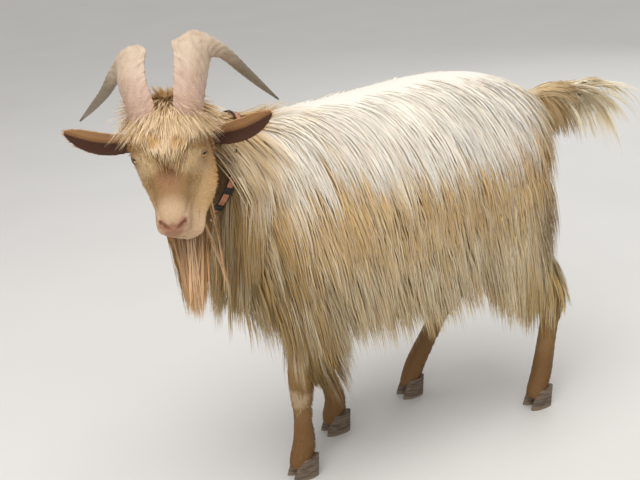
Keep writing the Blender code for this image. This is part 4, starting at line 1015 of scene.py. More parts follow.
def lay_line(spot, facing, flow, length, lift, fall, rise):
    """The places and facings along one guide line."""
    spot, facing, flow = Vector(spot), Vector(facing), Vector(flow)
    heading = flow.normalized()
    heading = (heading - facing * min(0.0, heading.dot(facing))).normalized()
    heading = (heading + facing * rise).normalized()
    line, ways = [spot], [facing]
    stride = length / (LINE_POINTS - 1)
    for n in range(1, LINE_POINTS):
        share = n / (LINE_POINTS - 1)
        heading = heading.lerp(DOWN, fall * share).normalized()
        here = line[-1] + heading * stride
        near, way, _, gap = skin_tree.find_nearest(here)
        above = (here - near).dot(way)
        height = lift * min(1.0, 0.35 + share)
        if above < height and (above > 0 or gap < 0.06):
            here = near + way * height
            heading = (heading * 0.5 + (here - line[-1]).normalized() * 0.5).normalized()
        line.append(here)
        ways.append(way if gap < 0.05 else ways[-1])
    return line, ways


# %% [markdown]
# ## Tufts as closed blades
# A tuft is a thin three-sided blade: flat below, ridged above, full in the middle and drawn to a point.
# Three sides are the fewest that make a closed solid. The two rails are marked sharp, so the light stays
# soft on top. All tufts of a piece are computed together in arrays, because making a million triangles
# one by one would take hours.

# %% Build tufts
RIDGE = 0.5


def tuft_arrays(lines, widths, up_ways, twist):
    """The points of many blades: rows of three along each line, then its tip."""
    count, steps = lines.shape[:2]
    along = np.gradient(lines, axis=1)
    along /= np.linalg.norm(along, axis=2, keepdims=True) + 1e-9
    side = np.cross(along, up_ways)
    side /= np.linalg.norm(side, axis=2, keepdims=True) + 1e-9
    up = np.cross(side, along)
    turn = twist[:, None, None]
    side, up = side * np.cos(turn) + up * np.sin(turn), up * np.cos(turn) - side * np.sin(turn)
    share = np.linspace(0, 1, steps)[:-1]
    full = np.minimum(0.55 + 1.6 * share, 1.0) * (1 - share ** 2.4)
    half = (widths[:, None] * full / 2)[:, :, None]
    body = lines[:, :-1]
    side, up = side[:, :-1], up[:, :-1]
    rows = np.stack([body + side * half, body + up * half * RIDGE, body - side * half], axis=2)
    return np.concatenate([rows.reshape(count, -1, 3), lines[:, -1:]], axis=1), share


def blade_faces(stations):
    """The corners of one blade's faces: root cap, three sides and the point."""
    loops, sizes = [0, 1, 2], [3]
    for k in range(stations - 1):
        for j in range(3):
            i = (j + 1) % 3
            loops += [3 * k + j, 3 * k + 3 + j, 3 * k + 3 + i, 3 * k + i]
            sizes.append(4)
    for j in range(3):
        loops += [3 * stations - 3 + j, 3 * stations, 3 * stations - 3 + (j + 1) % 3]
        sizes.append(3)
    return np.array(loops), np.array(sizes)


# Every tuft reads its colour from a patch of the unwrap, whose side is this share of the whole
PATCH = 0.003


def coat_piece(name, lines, widths, up_ways, twist, roots, unwrap, wisps, tufts, finish):
    """One piece of the coat, with the facts that its finish asks for."""
    points, share = tuft_arrays(lines, widths, up_ways, twist)
    count, each = points.shape[:2]
    loops, sizes = blade_faces(len(share))
    starts = np.concatenate([[0], np.cumsum(sizes)[:-1]])
    mesh = bpy.data.meshes.new(name)
    mesh.vertices.add(count * each)
    mesh.loops.add(count * len(loops))
    mesh.polygons.add(count * len(sizes))
    order = (np.arange(count)[:, None] * each + loops).ravel()
    mesh.vertices.foreach_set("co", points.ravel())
    mesh.loops.foreach_set("vertex_index", order)
    mesh.polygons.foreach_set("loop_start", (np.arange(count)[:, None] * len(loops) + starts).ravel())
    shade_smooth(mesh)
    mesh.update(calc_edges=True)
    ends = np.empty(len(mesh.edges) * 2, int)
    mesh.edges.foreach_get("vertices", ends)
    rails = (ends % each % 3 != 1).reshape(-1, 2).all(1)
    mesh.attributes.new("sharp_edge", "BOOLEAN", "EDGE").data.foreach_set("value", rails)
    along = np.concatenate([np.repeat(share, 3), [1.0]])
    store(mesh, "along", np.tile(along, count))
    store(mesh, "wisp", np.repeat(wisps, each))
    store(mesh, "tuft", np.repeat(tufts, each))
    store(mesh, "root", np.repeat(roots, each, 0))
    across = np.concatenate([np.tile((0.0, 0.5, 1.0), len(share)), [0.5]])
    spread = np.stack([across, along], 1) * PATCH
    flat = (unwrap[:, None] * (1 - PATCH) + spread[None]).reshape(-1, 2)
    mesh.uv_layers.new(name="OFBake").data.foreach_set("uv", flat[order].ravel())
    mesh.materials.append(finish)
    return add_piece(name, mesh)


# %% [markdown]
# Each tuft reads its colour at its root's place on an unwrap of the skin. A trunk or a leg unwraps like
# the label of a bottle: how far along its axis, and how far round it.

# %% Unwrap and grow
def unwrapped(roots, start, end, top):
    """Places round and along an axis, as rows between 0 and 1."""
    start, end = np.array(start, float), np.array(end, float)
    way = (end - start) / np.linalg.norm(end - start)
    reach = roots - start
    share = (reach @ way) / np.linalg.norm(end - start)
    up = np.array(top, float) - way * np.dot(top, way)
    up /= np.linalg.norm(up)
    turn = np.arctan2(reach @ np.cross(way, up), reach @ up) / (2 * math.pi) + 0.5
    return np.clip(np.stack([share, turn], 1), 0.0, 1.0)


LOOSE_LIFT, WAVE_LENGTH, GATHER_SHARE = 0.008, 0.055, 0.30


def grow(name, rng, wisps, tufts, density, comb, axis, width, spread, finish, pull=0.75, wave=0.003,
         stray=0.0025, sink=0.002, steps=LINE_POINTS, twist=0.45, gather=None, fence=None):
    """A piece of coat: wisps scattered by density, combed by a rule, each with so many tufts."""
    spots, ways = scatter(wisps, density, rng)
    lines, facings_along, lengths, loose = [], [], [], []
    for spot, way in zip(spots, ways):
        flow, length, lift, fall, rise = comb(spot, way, rng)
        line, facing = lay_line(spot, way, flow, length, lift, fall, rise)
        lines.append(line)
        facings_along.append(facing)
        lengths.append(length)
        loose.append(min(1.0, lift / LOOSE_LIFT))
    lines, facings_along = np.array(lines), np.array(facings_along)
    if fence is not None:
        lines[:, :, 1] = np.clip(lines[:, :, 1], -fence(lines[:, :, 0]), fence(lines[:, :, 0]))
    if gather is not None:
        ramp = np.linspace(0, 1, LINE_POINTS)[None, :, None] ** 2.5
        lines[:, :, :2] += GATHER_SHARE * ((gather[None, None, :2] - lines[:, :, :2]) * ramp)
    lengths, loose = np.array(lengths), np.array(loose)
    offsets = rng.normal(0, spread, (wisps, tufts, 3))
    offsets -= ways[:, None] * (offsets @ ways[:, :, None])
    roots = spots[:, None] + offsets
    flat = roots.reshape(-1, 3)
    for n in range(len(flat)):
        near, way, _, _ = skin_tree.find_nearest(Vector(flat[n]))
        flat[n] = near - way * sink
    share = np.linspace(0, 1, LINE_POINTS)
    close = (1 - pull * share ** 1.2)[None, None, :, None]
    every = lines[:, None] + (roots - spots[:, None])[:, :, None] * close
    side = np.cross(np.gradient(lines, axis=1), facings_along)
    side /= np.linalg.norm(side, axis=2, keepdims=True) + 1e-9
    bends = share[None, :] * lengths[:, None] / WAVE_LENGTH * 2 * math.pi + rng.uniform(0, 6.3, (wisps, 1))
    every += (side * (np.sin(bends) * share * wave * loose[:, None])[:, :, None])[:, None]
    stray_by = (stray * loose)[:, None, None]
    every += (rng.normal(0, 1, (wisps, tufts, 3)) * stray_by)[:, :, None] * share[None, None, :, None]
    rise_by = np.abs(rng.normal(0, 1, (wisps, tufts, 1))) * stray_by * share
    every += facings_along[:, None] * rise_by[:, :, :, None]
    cut = rng.uniform(0.72, 1.0, (wisps, tufts))
    every = every.reshape(wisps * tufts, LINE_POINTS, 3)
    reach = (cut.reshape(-1, 1) * np.linspace(0, 1, steps)) * (LINE_POINTS - 1)
    low = np.minimum(reach.astype(int), LINE_POINTS - 2)
    part = (reach - low)[:, :, None]
    rows = np.arange(len(every))[:, None]
    every = every[rows, low] * (1 - part) + every[rows, low + 1] * part
    ups = np.repeat(facings_along, tufts, 0)[rows, low]
    count = len(every)
    widths = rng.uniform(0.7, 1.25, count) * width
    turns = rng.normal(0, twist, count)
    wisp_dice = np.repeat(rng.random(wisps), tufts)
    piece = coat_piece(name, every, widths, ups, turns, flat, unwrapped(flat, *axis), wisp_dice,
                       rng.random(count), finish)
    print(name, count, "tufts,", count * (6 * (steps - 2) + 4), "triangles")
    return piece


# %% [markdown]
# ## The long coat
# On this goat the hair parts along the spine and falls over the flanks to well below the belly. Combing
# is a rule: from a place on the skin it gives the direction, the length, how high the wisp rides and how
# fast it drops. The trunk takes more tufts than any other part, so it comes in four pieces.

# %% Trunk
def sway(rng, amount):
    """A little disorder for a direction."""
    return np.append(rng.normal(0, amount, 2), 0.0)


def comb_trunk(spot, way, rng):
    """Back and down from the spine, straighter and longer low on the flanks."""
    side = 1.0 if spot[1] > 0 else -1.0
    top = float(step_up(spot[2], 0.64, 0.75))
    under = float(step_up(-way[2], 0.55, 0.90))
    rear = float(step_up(spot[0], 0.30, 0.37))
    back = (0.24 + 0.34 * top) * (1 - rear)
    flow = np.array((back, side * 0.5 * (1 - rear), -1.0)) + sway(rng, 0.08 - 0.03 * top)
    length = (0.165 - 0.035 * top - 0.060 * under - 0.050 * rear) * rng.uniform(0.75, 1.12)
    lift = rng.uniform(0.003, 0.010) * (1 - 0.65 * top) * (1 - 0.5 * rear)
    return flow, length, lift, 0.35 + 0.3 * rear, 0.12 - 0.06 * top


def trunk_fence(x):
    """How far from the middle a hanging wisp may stand, less over the narrowing rump."""
    return 0.172 - 0.33 * np.clip(x - 0.20, 0, 1) - 0.20 * np.clip(-0.24 - x, 0, 1)


# An unwrap's axis: where it starts, where it ends and which way its top is
TRUNK_AXIS = ((-0.36, 0, 0.56), (0.42, 0, 0.56), (0, 0, 1))
TRUNK_MIDDLE, HAIR_WIDTH = 0.04, 0.0022
rng = np.random.default_rng(11)
coat = []
fringe = 1.0 + 0.8 * step_up(middles[:, 2], 0.50, 0.44) - 0.75 * step_up(-facings[:, 2], 0.60, 0.90)
is_fore = middles[:, 0] < TRUNK_MIDDLE
for side_name, side, wisps in (("left", -1, 820), ("right", 1, 560)):
    for end_name, inside in (("fore", is_fore), ("hind", ~is_fore)):
        density = is_trunk * inside * (middles[:, 1] * side > 0) * fringe
        coat.append(grow(f"coat_{end_name}_{side_name}", rng, wisps, 8, density, comb_trunk, TRUNK_AXIS,
                         HAIR_WIDTH, 0.0105, LONG_HAIR, pull=0.45, steps=6, twist=0.20, wave=0.002,
                         stray=0.0012, fence=trunk_fence))

# %% [markdown]
# The bib hangs from the neck behind the collar, and a mane from the nape falls over the collar's upper
# half. In front of the collar, under the mane, the hair is short and brown, deepened by painted shade.

# %% Neck
MANE_HEIGHT, MANE_SLOPE, MANE_TOP = 0.665, 0.9, 0.755


def comb_neck(spot, way, rng):
    """Down and a little forward in front, down and back behind."""
    front = float(step_up(-way[0], 0.0, 0.6))
    ahead = (Vector(spot) - COLLAR_CENTRE).dot(COLLAR_WAY)
    flow = np.array((0.25 - 0.45 * front, spot[1] * 2.5, -1.0)) + sway(rng, 0.08)
    if ahead > 0:
        return flow, rng.uniform(0.020, 0.030), 0.003, 0.2, 0.12
    return flow, rng.uniform(0.12, 0.175), rng.uniform(0.004, 0.012), 0.35, 0.15


NECK_AXIS = ((-0.20, 0, 0.60), (-0.44, 0, 0.76), (0, 0, 1))
off_strap = 1.0 - np.clip(1 - (np.abs(from_collar) - 0.010) / 0.004, 0, 1)
is_nape = is_neck | is_head & ~is_ear & (in_face[:, 0] < -0.012) & (middles[:, 2] > 0.70)
mane_line = np.minimum(MANE_HEIGHT + MANE_SLOPE * from_collar, MANE_TOP)
is_mane = (from_collar > 0) & (middles[:, 2] > mane_line)
coat.append(grow("coat_neck", rng, 540, 8, is_neck * off_strap * (from_collar < 0.004), comb_neck, NECK_AXIS,
                 HAIR_WIDTH, 0.008, LONG_HAIR, pull=0.50, steps=6, twist=0.20, wave=0.002, stray=0.0012))


def comb_mane(spot, way, rng):
    """From the nape down over the collar, high enough to pass over the strap."""
    side = 1.0 if spot[1] > -0.02 else -1.0
    near = float(step_up(np.linalg.norm(spot - np.array(POLL)), 0.110, 0.070))
    flow = np.array((0.60 + 0.60 * near, side * (0.70 - 0.40 * near), -1.0 + 0.4 * near)) + sway(rng, 0.08)
    low = float(step_up(spot[2], 0.770, 0.730))
    length = rng.uniform(0.11, 0.17) * (1 - 0.55 * near)
    lift = (0.004 + 0.012 * low) * rng.uniform(0.8, 1.3)
    return flow, length, lift, 0.30, 0.05 + 0.2 * low


coat.append(grow("coat_mane", rng, 300, 8, is_nape * off_strap * is_mane, comb_mane, NECK_AXIS,
                 HAIR_WIDTH, 0.007, LONG_HAIR, pull=0.50, steps=6, twist=0.25, stray=0.0015))
coat.append(grow("coat_throat", rng, 640, 4, is_neck * off_strap * (from_collar > 0) * ~is_mane,
                 comb_neck, NECK_AXIS, 0.0018, 0.005, SHORT_HAIR, steps=4, wave=0.001, stray=0.001))

# %% [markdown]
# The tail is carried level with a fan of hair that droops at its end. The upper legs have long feathering
# down to the knee and the hock, and below that the hair is short and flat.

# %% Tail and legs
def comb_tail(spot, way, rng):
    """Back along the tail, then drooping."""
    side = 1.0 if spot[1] > 0 else -1.0
    far = float(step_up(spot[0], 0.40, 0.49))
    under = float(step_up(-way[2], 0.0, 0.6))
    flow = np.array((1.0 - 0.6 * under * (1 - far), side * 0.05, 0.05 - 0.60 * under)) + sway(rng, 0.05)
    return flow, (0.115 + 0.110 * far) * rng.uniform(0.85, 1.05), rng.uniform(0.002, 0.008), 0.36, 0.12


TAIL_AXIS = ((0.38, 0, 0.66), (0.52, 0, 0.66), (0, 0, 1))
plume = is_tail * (1 + 1.5 * step_up(middles[:, 0], 0.42, 0.48))
coat.append(grow("coat_tail", rng, 260, 9, plume, comb_tail, TAIL_AXIS, HAIR_WIDTH, 0.007, TAIL_HAIR,
                 pull=0.5, steps=6, wave=0.0015, stray=0.0012, twist=0.25))


def comb_leg(spot, way, rng):
    """Straight down: long on forearm and thigh, swept back behind the forelegs, short below and in front."""
    back = float(step_up(way[0], -0.3, 0.5))
    if spot[0] < 0:
        long_share = float(step_up(spot[2], 0.20 + 0.07 * (1 - back), 0.30 + 0.08 * (1 - back)))
        flow = np.array((0.10 + 0.45 * back, 0.0, -1.0)) + sway(rng, 0.08)
    else:
        long_share = float(step_up(spot[2], 0.20 + 0.02 * back, 0.30 + 0.02 * back)) * (1 - 0.15 * back)
        flow = np.array((-0.05 - 0.40 * back, 0.0, -1.0)) + sway(rng, 0.06)
    length = (0.011 + (0.110 + 0.050 * back * (spot[0] < 0)) * long_share) * rng.uniform(0.8, 1.15)
    return flow, length, 0.0008 + 0.006 * long_share * rng.random(), 0.25 if spot[0] < 0 else 0.50, 0.06


FEATHER_FROM, FUR_FROM, FUR_TO = 0.235, 0.034, 0.25
heights = middles[:, 2]
for leg_name, joints in LEGS.items():
    side = -1 if "left" in leg_name else 1
    inside = (middles[:, 1] * side > 0) & ((middles[:, 0] < 0.0) == ("front" in leg_name))
    toe = joints["toe"]
    axis = ((toe[0], toe[1], 0.0), (toe[0], toe[1], 0.42), (1, 0, 0))
    feathered = is_leg * inside * (heights > FEATHER_FROM)
    furred = is_leg * inside * (heights < FUR_TO) * (heights > FUR_FROM)
    coat.append(grow(f"feather_{leg_name}", rng, 175, 8, feathered, comb_leg, axis, HAIR_WIDTH, 0.007,
                     LONG_HAIR, pull=0.6, steps=6, twist=0.25))
    coat.append(grow(f"fur_{leg_name}", rng, 1100, 2, furred, comb_leg, axis, 0.0018, 0.004,
                     SHORT_HAIR, steps=3, wave=0.0, stray=0.0005, sink=0.001, twist=0.12))

# %% [markdown]
# ## Face, ears, forelock and beard
# On the face the fur is short and follows the bones: down the nose, back over the cheeks. It leaves nose,
# lips and lids bare. The forelock falls from between the horns and the beard hangs from the whole lower
# jaw.

# %% Face
def comb_face(spot, way, rng):
    """Down the nose in front, back and down over the cheeks."""
    place = to_head(spot[None])[0]
    cheek = float(step_up(-place[2], 0.03, 0.07))
    flow = HEAD_TURNER @ np.array((1.0 - 1.5 * cheek, 0.0, -0.2 - 0.9 * cheek)) + sway(rng, 0.14)
    far = float(step_up(place[0], 0.09, 0.18))
    near_eye = float(step_up(min(np.linalg.norm(place - eye) for eye in EYE_FRONTS), 0.032, 0.018))
    length = (0.012 - 0.0085 * far) * (1 - 0.6 * near_eye)
    return flow, length * rng.uniform(0.8, 1.2), 0.0005, 0.0, 0.03


def gaps_to(place):
    """Distances of the skin's triangles from a place in the head's frame."""
    return np.linalg.norm(in_face - np.array(place), axis=1)


bare = np.ones(len(middles))
for side, eye_front in zip((1, -1), EYE_FRONTS):
    bare *= step_up(gaps_to(eye_front), 0.0125, 0.0155)
    bare *= step_up(gaps_to((0.223, side * 0.012, -0.036)), 0.010, 0.014)
bare *= step_up(gaps_to((0.229, 0, -0.045)), 0.012, 0.018)
for x, y, z in spline(MOUTH, 24):
    for side in (1, -1):
        bare *= step_up(gaps_to((x, side * y, z)), 0.0015, 0.0030)
face_axis = (HEAD @ Vector((-0.05, 0, -0.06)), HEAD @ Vector((0.23, 0, -0.045)),
             HEAD.to_3x3() @ Vector((0, 0, 1)))
coat.append(grow("fur_face", rng, 13500, 1, is_head * ~is_ear * bare, comb_face, face_axis, 0.0012, 0.0005,
                 FACE_HAIR, steps=3, wave=0.0, stray=0.0, sink=0.0008, twist=0.08))


def comb_ear(spot, way, rng):
    """Out along the ear."""
    side = 1.0 if to_head(spot[None])[0][1] > 0 else -1.0
    way_out = upright(0.03, -0.02, side * 0.13)
    return HEAD_TURNER @ np.array(way_out) * 8 + sway(rng, 0.10), rng.uniform(0.006, 0.012), 0.0008, 0.0, 0.08


coat.append(grow("fur_ears", rng, 4200, 1, is_ear * (ear_cup < 0.1), comb_ear, face_axis, 0.0010, 0.0005,
                 FACE_HAIR, steps=3, wave=0.0, stray=0.0, sink=0.0006, twist=0.08))


def comb_forelock(spot, way, rng):
    """From between the horns, out at the sides and down the forehead to a point between the eyes."""
    place = to_head(spot[None])[0]
    front = float(step_up(place[0], 0.005, 0.050))
    flow = HEAD_TURNER @ np.array((1.0, place[1] * (15 - 26 * front), 0.05)) + sway(rng, 0.07)
    crown_rise = 0.40 * float(step_up(place[0], 0.0, -0.02))
    length = (0.070 - 0.022 * front) * rng.uniform(0.75, 1.15)
    return flow, length, rng.uniform(0.001, 0.005), 0.05, 0.18 + crown_rise


crown = (step_up(in_face[:, 0], -0.040, -0.020) * step_up(in_face[:, 0], 0.105, 0.085)
         * step_up(np.abs(in_face[:, 1]) + 0.38 * in_face[:, 0], 0.066, 0.054)
         * step_up(in_face[:, 2], -0.045, -0.025))
coat.append(grow("forelock", rng, 1000, 3, crown * ~is_ear * is_head, comb_forelock, face_axis, 0.0016, 0.005,
                 LOCK_HAIR, pull=0.3, wave=0.0012, stray=0.0008, steps=6, twist=0.25))

BEARD_TIP = np.array((-0.452, -0.158, 0.44))


def comb_beard(spot, way, rng):
    """Down to a point below the chin."""
    reach = BEARD_TIP - spot
    far = float(np.linalg.norm(reach))
    aim = BEARD_TIP + np.append(rng.normal(0, 0.011, 2), 0.0) - spot
    return aim / far, far * rng.uniform(0.82, 1.06), rng.uniform(0.001, 0.004), 0.03, 0.0


chin = (step_up(in_face[:, 0], 0.060, 0.100) * step_up(in_face[:, 0], 0.212, 0.198)
        * step_up(in_face[:, 2], -0.062, -0.078) * step_up(np.abs(in_face[:, 1] - 0.015), 0.052, 0.042))
coat.append(grow("beard", rng, 700, 4, chin * is_head * ~is_ear, comb_beard, face_axis, 0.0019, 0.005,
                 BEARD_HAIR, pull=0.5, wave=0.0015, stray=0.0012, steps=6, gather=BEARD_TIP, twist=0.25))

# %% [markdown]
# ## Horns
# A goat's horn is a flattened plate with a sharp keel that looks inward in front. It rises, turns out and
# sweeps back and down. Fine slanting wrinkles show how it grew, so they are real relief here: each point
# of the loft is lifted by waves that run round the horn at a slant.

# %% Horn shapes
# Stations: rise, back and out from the poll, half width to the keel, half thickness, and where the keel looks
HORN_PATH = [(-0.032, -0.012, 0.038, 0.031, 0.020, 0.00, -0.60, -0.80),
             (0.006, -0.005, 0.0415, 0.032, 0.020, 0.00, -0.60, -0.80),
             (0.040, 0.010, 0.0485, 0.034, 0.018, 0.12, -0.58, -0.80),
             (0.082, 0.041, 0.0600, 0.0365, 0.016, 0.56, -0.30, -0.78),
             (0.080, 0.066, 0.0850, 0.0240, 0.014, 0.78, -0.15, -0.55),
             (0.060, 0.092, 0.1090, 0.0145, 0.012, 0.90, 0.05, -0.35),
             (0.022, 0.140, 0.1350, 0.0110, 0.010, 0.90, 0.20, -0.25),
             (-0.022, 0.205, 0.1640, 0.0080, 0.007, 0.90, 0.25, -0.20),
             (-0.072, 0.282, 0.1980, 0.0020, 0.0018, 0.90, 0.25, -0.20)]
# The goat's right horn grew a little lower and closer: changes of rise and out at the same stations
RIGHT_HORN = [(0, 0), (0, 0.001), (0, 0.003), (-0.006, -0.005), (-0.020, -0.014), (-0.021, -0.019),
              (-0.019, -0.019), (-0.014, -0.012), (-0.005, -0.006)]
RIGHT_NARROW = [1.0, 0.97, 0.91, 0.88, 0.95, 1, 1, 1, 1]
HORN_STIFF, HORN_SLANT = 12, 0.030
FINE_WRINKLE, BROAD_WRINKLE = 0.0068, 0.019


def horn_mesh(side, count=260, sides=48):
    """A horn with its wrinkles, and how far along it each point is."""
    path = [list(row) for row in HORN_PATH]
    if side < 0:
        for row, (lower, closer), narrow in zip(path, RIGHT_HORN, RIGHT_NARROW):
            row[0], row[2], row[3] = row[0] + lower, row[2] + closer, row[3] * narrow
    rows = spline(path, count)
    centres = [upright(r[0], r[1], side * r[2]) for r in rows]
    lengths = np.concatenate([[0], np.cumsum([(b - a).length for a, b in zip(centres, centres[1:])])])
    turns = circle(sides)
    rings, shares = [], []
    for i, row in enumerate(rows):
        along = (centres[min(i + HORN_STIFF, count - 1)] - centres[max(i - HORN_STIFF, 0)]).normalized()
        keel = upright(row[5], row[6], side * row[7])
        keel = (keel - along * keel.dot(along)).normalized()
        face = along.cross(keel) * side
        ring = []
        share = lengths[i] / lengths[-1]
        crest = 0.22 * math.exp(-((share - 0.262) / 0.016) ** 2)
        crest -= 0.12 * float(step_up(share, 0.262, 0.285) * (1 - step_up(share, 0.36, 0.60)))
        for c, s in turns:
            wide = row[3] * (c * (1 + crest * c) if c > 0 else 0.86 * c)
            pinch = 1 - 0.72 * max(0.0, c) ** 2
            slant = lengths[i] - HORN_SLANT * c
            waver = 1.6 * math.sin(slant * 190 + 2.0 * s)
            wrinkle = 0.00060 * math.sin(slant / FINE_WRINKLE * 2 * math.pi + waver)
            wrinkle += 0.0005 * math.sin(slant / BROAD_WRINKLE * 2 * math.pi + 1.0 + s)
            wrinkle *= min(1.0, row[3] / 0.02)
            way = keel * c + face * s
            ring.append(centres[i] + keel * wide + face * row[4] * s * pinch + way * wrinkle)
        rings.append(ring)
        shares += [share] * sides
    mesh = mesh_from("horn", loft(rings))
    store(mesh, "along", shares)
    store(mesh, "grain", [(c, s, lengths[i] - HORN_SLANT * c) for i in range(count) for c, s in turns])
    shade_smooth(mesh)
    mesh.transform(HEAD)
    return mesh


# %% [markdown]
# Horn is pinkish and pale where it leaves the skull, sandy in the middle and grey at the tip, with darker
# lines in the furrows and fine scratches along it.

# %% Horn finish
HORN_PINK, HORN_SAND = (0.50, 0.345, 0.27), (0.52, 0.41, 0.30)
HORN_BROWN, HORN_DARK = (0.24, 0.195, 0.135), (0.12, 0.095, 0.07)


def horn_finish():
    """Pale pink base to grey-brown tip, streaked along and ringed across."""
    made, recipe, shader = new_finish("horn_sheath", 0.46, Specular_IOR_Level=0.45)
    along, grain = recipe.fact("along"), recipe.fact("grain", 1)
    colour = recipe.mix(recipe.ramp(along, 0.05, 0.30), HORN_PINK, HORN_SAND)
    colour = recipe.mix(recipe.ramp(along, 0.32, 0.60), colour, HORN_BROWN)
    colour = recipe.mix(recipe.ramp(along, 0.90, 1.0), colour, HORN_DARK)
    cloud = recipe.noise(goat_place(recipe), 45.0, 4.0)
    colour = recipe.mix(recipe.ramp(cloud, 0.35, 0.75, 0.0, 0.40), colour, (0.66, 0.55, 0.46), "MULTIPLY")
    bend = recipe.vector("MULTIPLY", recipe.noise(grain, 14.0, 3.0, output=1), (0.5, 0.5, 0.02))
    bent = recipe.vector("ADD", grain, bend)
    fibres = recipe.noise(recipe.vector("MULTIPLY", bent, (5.0, 5.0, 60.0)), 1.0, 5.0)
    colour = recipe.mix(recipe.ramp(fibres, 0.48, 0.75, 0.0, 0.50), colour, (0.58, 0.42, 0.36), "MULTIPLY")
    rings = recipe.noise(recipe.vector("MULTIPLY", grain, (1.6, 1.6, 330.0)), 1.0, 3.0)
    colour = recipe.mix(recipe.ramp(rings, 0.50, 0.72, 0.0, 0.22), colour, (0.50, 0.40, 0.33), "MULTIPLY")
    recipe.tree.links.new(colour, shader.inputs["Base Color"])
    bump(recipe, shader, recipe.sum("ADD", rings, recipe.sum("MULTIPLY", fibres, 0.8)), 0.35, 0.0006)
    return made


HORN = horn_finish()
horns = {}
for side, label in ((1, "left"), (-1, "right")):
    horns[label] = add_piece("horn_sheath_" + label, horn_mesh(side))
    horns[label].data.materials.append(HORN)
print("horns of", len(horns["left"].data.polygons), "faces each")

# %% [markdown]
# ## Eyes
# A goat's eye is amber with a pupil like a level slot, and it keeps the slot level however the head is
# held. The ball bulges a little at the cornea. The colours are worked out from the place on the ball,
# which is stored with the mesh, and a clear coat makes it wet.

# %% Eyes
PUPIL_LONG, PUPIL_HIGH = 0.0046, 0.0020
CORNEA_RISE, CORNEA_WIDE = 0.0006, 0.0060
IRIS_DARK, IRIS_LIGHT, IRIS_RIM = (0.36, 0.20, 0.085), (0.54, 0.34, 0.17), (0.075, 0.034, 0.015)
PUPIL = (0.006, 0.006, 0.010)


def eye_finish():
    """Amber iris, dark level slot and rim, brown beyond, under a wet coat."""
    made, recipe, shader = new_finish("wet_eye", 0.30, Specular_IOR_Level=0.15,
                                      Coat_Weight=0.30, Coat_Roughness=0.03)
    spot = recipe.fact("on_eye", 1)
    parts = recipe.tree.nodes.new("ShaderNodeSeparateXYZ")
    recipe.tree.links.new(spot, parts.inputs[0])
    x, y = parts.outputs[0], parts.outputs[1]
    radius = recipe.sum("SQRT", recipe.sum("ADD", recipe.sum("MULTIPLY", x, x), recipe.sum("MULTIPLY", y, y)))
    spread = recipe.vector("MULTIPLY", recipe.vector("NORMALIZE", spot), (9.0, 9.0, 0.5))
    rays = recipe.noise(spread, 1.0, 4.0)
    iris = recipe.mix(recipe.ramp(rays, 0.35, 0.65), IRIS_DARK, IRIS_LIGHT)
    iris = recipe.mix(recipe.ramp(radius, 0.0066, 0.0082), iris, IRIS_RIM)
    across, upward = (recipe.sum("POWER", recipe.sum("ABSOLUTE", recipe.sum("DIVIDE", way, reach)), 3.0)
                      for way, reach in ((x, PUPIL_LONG), (y, PUPIL_HIGH)))
    slot = recipe.sum("ADD", across, upward)
    colour = recipe.mix(recipe.ramp(slot, 1.25, 0.75), iris, PUPIL)
    recipe.tree.links.new(colour, shader.inputs["Base Color"])
    return made


EYE = eye_finish()
SLOT_WAY = Vector((0.91, -0.41, 0.08))
eyes = {}
for side, label in ((1, "left"), (-1, "right")):
    gaze = eye_axis(side) + Vector((-0.10, 0, 0.12))
    out = (HEAD.to_3x3() @ gaze).normalized()
    level = (SLOT_WAY - out * SLOT_WAY.dot(out)).normalized()
    turn = Matrix((level, out.cross(level), out)).transposed()
    form = ball(Vector((0, 0, 0)), Vector((1, 1, 1)) * EYE_RADIUS, Matrix.Identity(3), 64, 48)
    for vert in form.verts:
        wide = math.hypot(vert.co.x, vert.co.y)
        if vert.co.z > 0:
            vert.co.z += CORNEA_RISE * math.exp(-(wide / CORNEA_WIDE) ** 2)
    mesh = mesh_from("eye", form)
    store(mesh, "on_eye", points_of(mesh))
    shade_smooth(mesh)
    mesh.transform(Matrix.Translation(HEAD @ on_side(EYE_PLACE, side)) @ turn.to_4x4())
    eyes[label] = add_piece("eyeball_" + label, mesh)
    mesh.materials.append(EYE)
print("the right eye looks along", [round(v, 2) for v in out])

# %% [markdown]
# ## Hooves
# Each foot has two claws of dark horn, flat underneath and rounded in front, with shallow growth rings.
# The claw is lofted upward from its sole.

# %% Hooves
# Claw stations: height, how far back, share of the length, share of the width
CLAW = [(0.0, 0.0, 1.0, 1.0), (0.016, 0.004, 0.92, 0.97), (0.048, 0.014, 0.68, 0.86)]
CLAW_ROWS, FLAT_SIDE = 22, 0.80


def claw_mesh(toe, outward, hind):
    """One claw, with its sole on the ground and shallow growth rings."""
    length, half = (0.052, 0.0118) if hind else (0.056, 0.0124)
    rings = []
    for n, (z, shift, long_share, wide_share) in enumerate(spline(CLAW, CLAW_ROWS)):
        ripple = 1 + 0.012 * math.sin(n * 1.9) * (0 < n < CLAW_ROWS - 1)
        ring = []
        for c, s in circle(36):
            along = -0.5 * length * long_share * blunt(c, 0.8) * ripple
            across = half * wide_share * blunt(s, 0.8) * (1 - 0.42 * max(0.0, c) ** 2) * ripple
            if across * outward < 0:
                across *= FLAT_SIDE
            lean = outward * (0.0128 + 0.0022 * max(0.0, c))
            top = 0.0435 + 0.1 * (along + shift)
            ring.append(Vector((toe[0] + 0.014 + shift + along, toe[1] + lean + across, min(z, top))))
        rings.append(ring)
    mesh = mesh_from("claw", loft(rings))
    mesh.polygons.foreach_set("use_smooth", np.array([len(p.vertices) == 4 for p in mesh.polygons]))
    return mesh


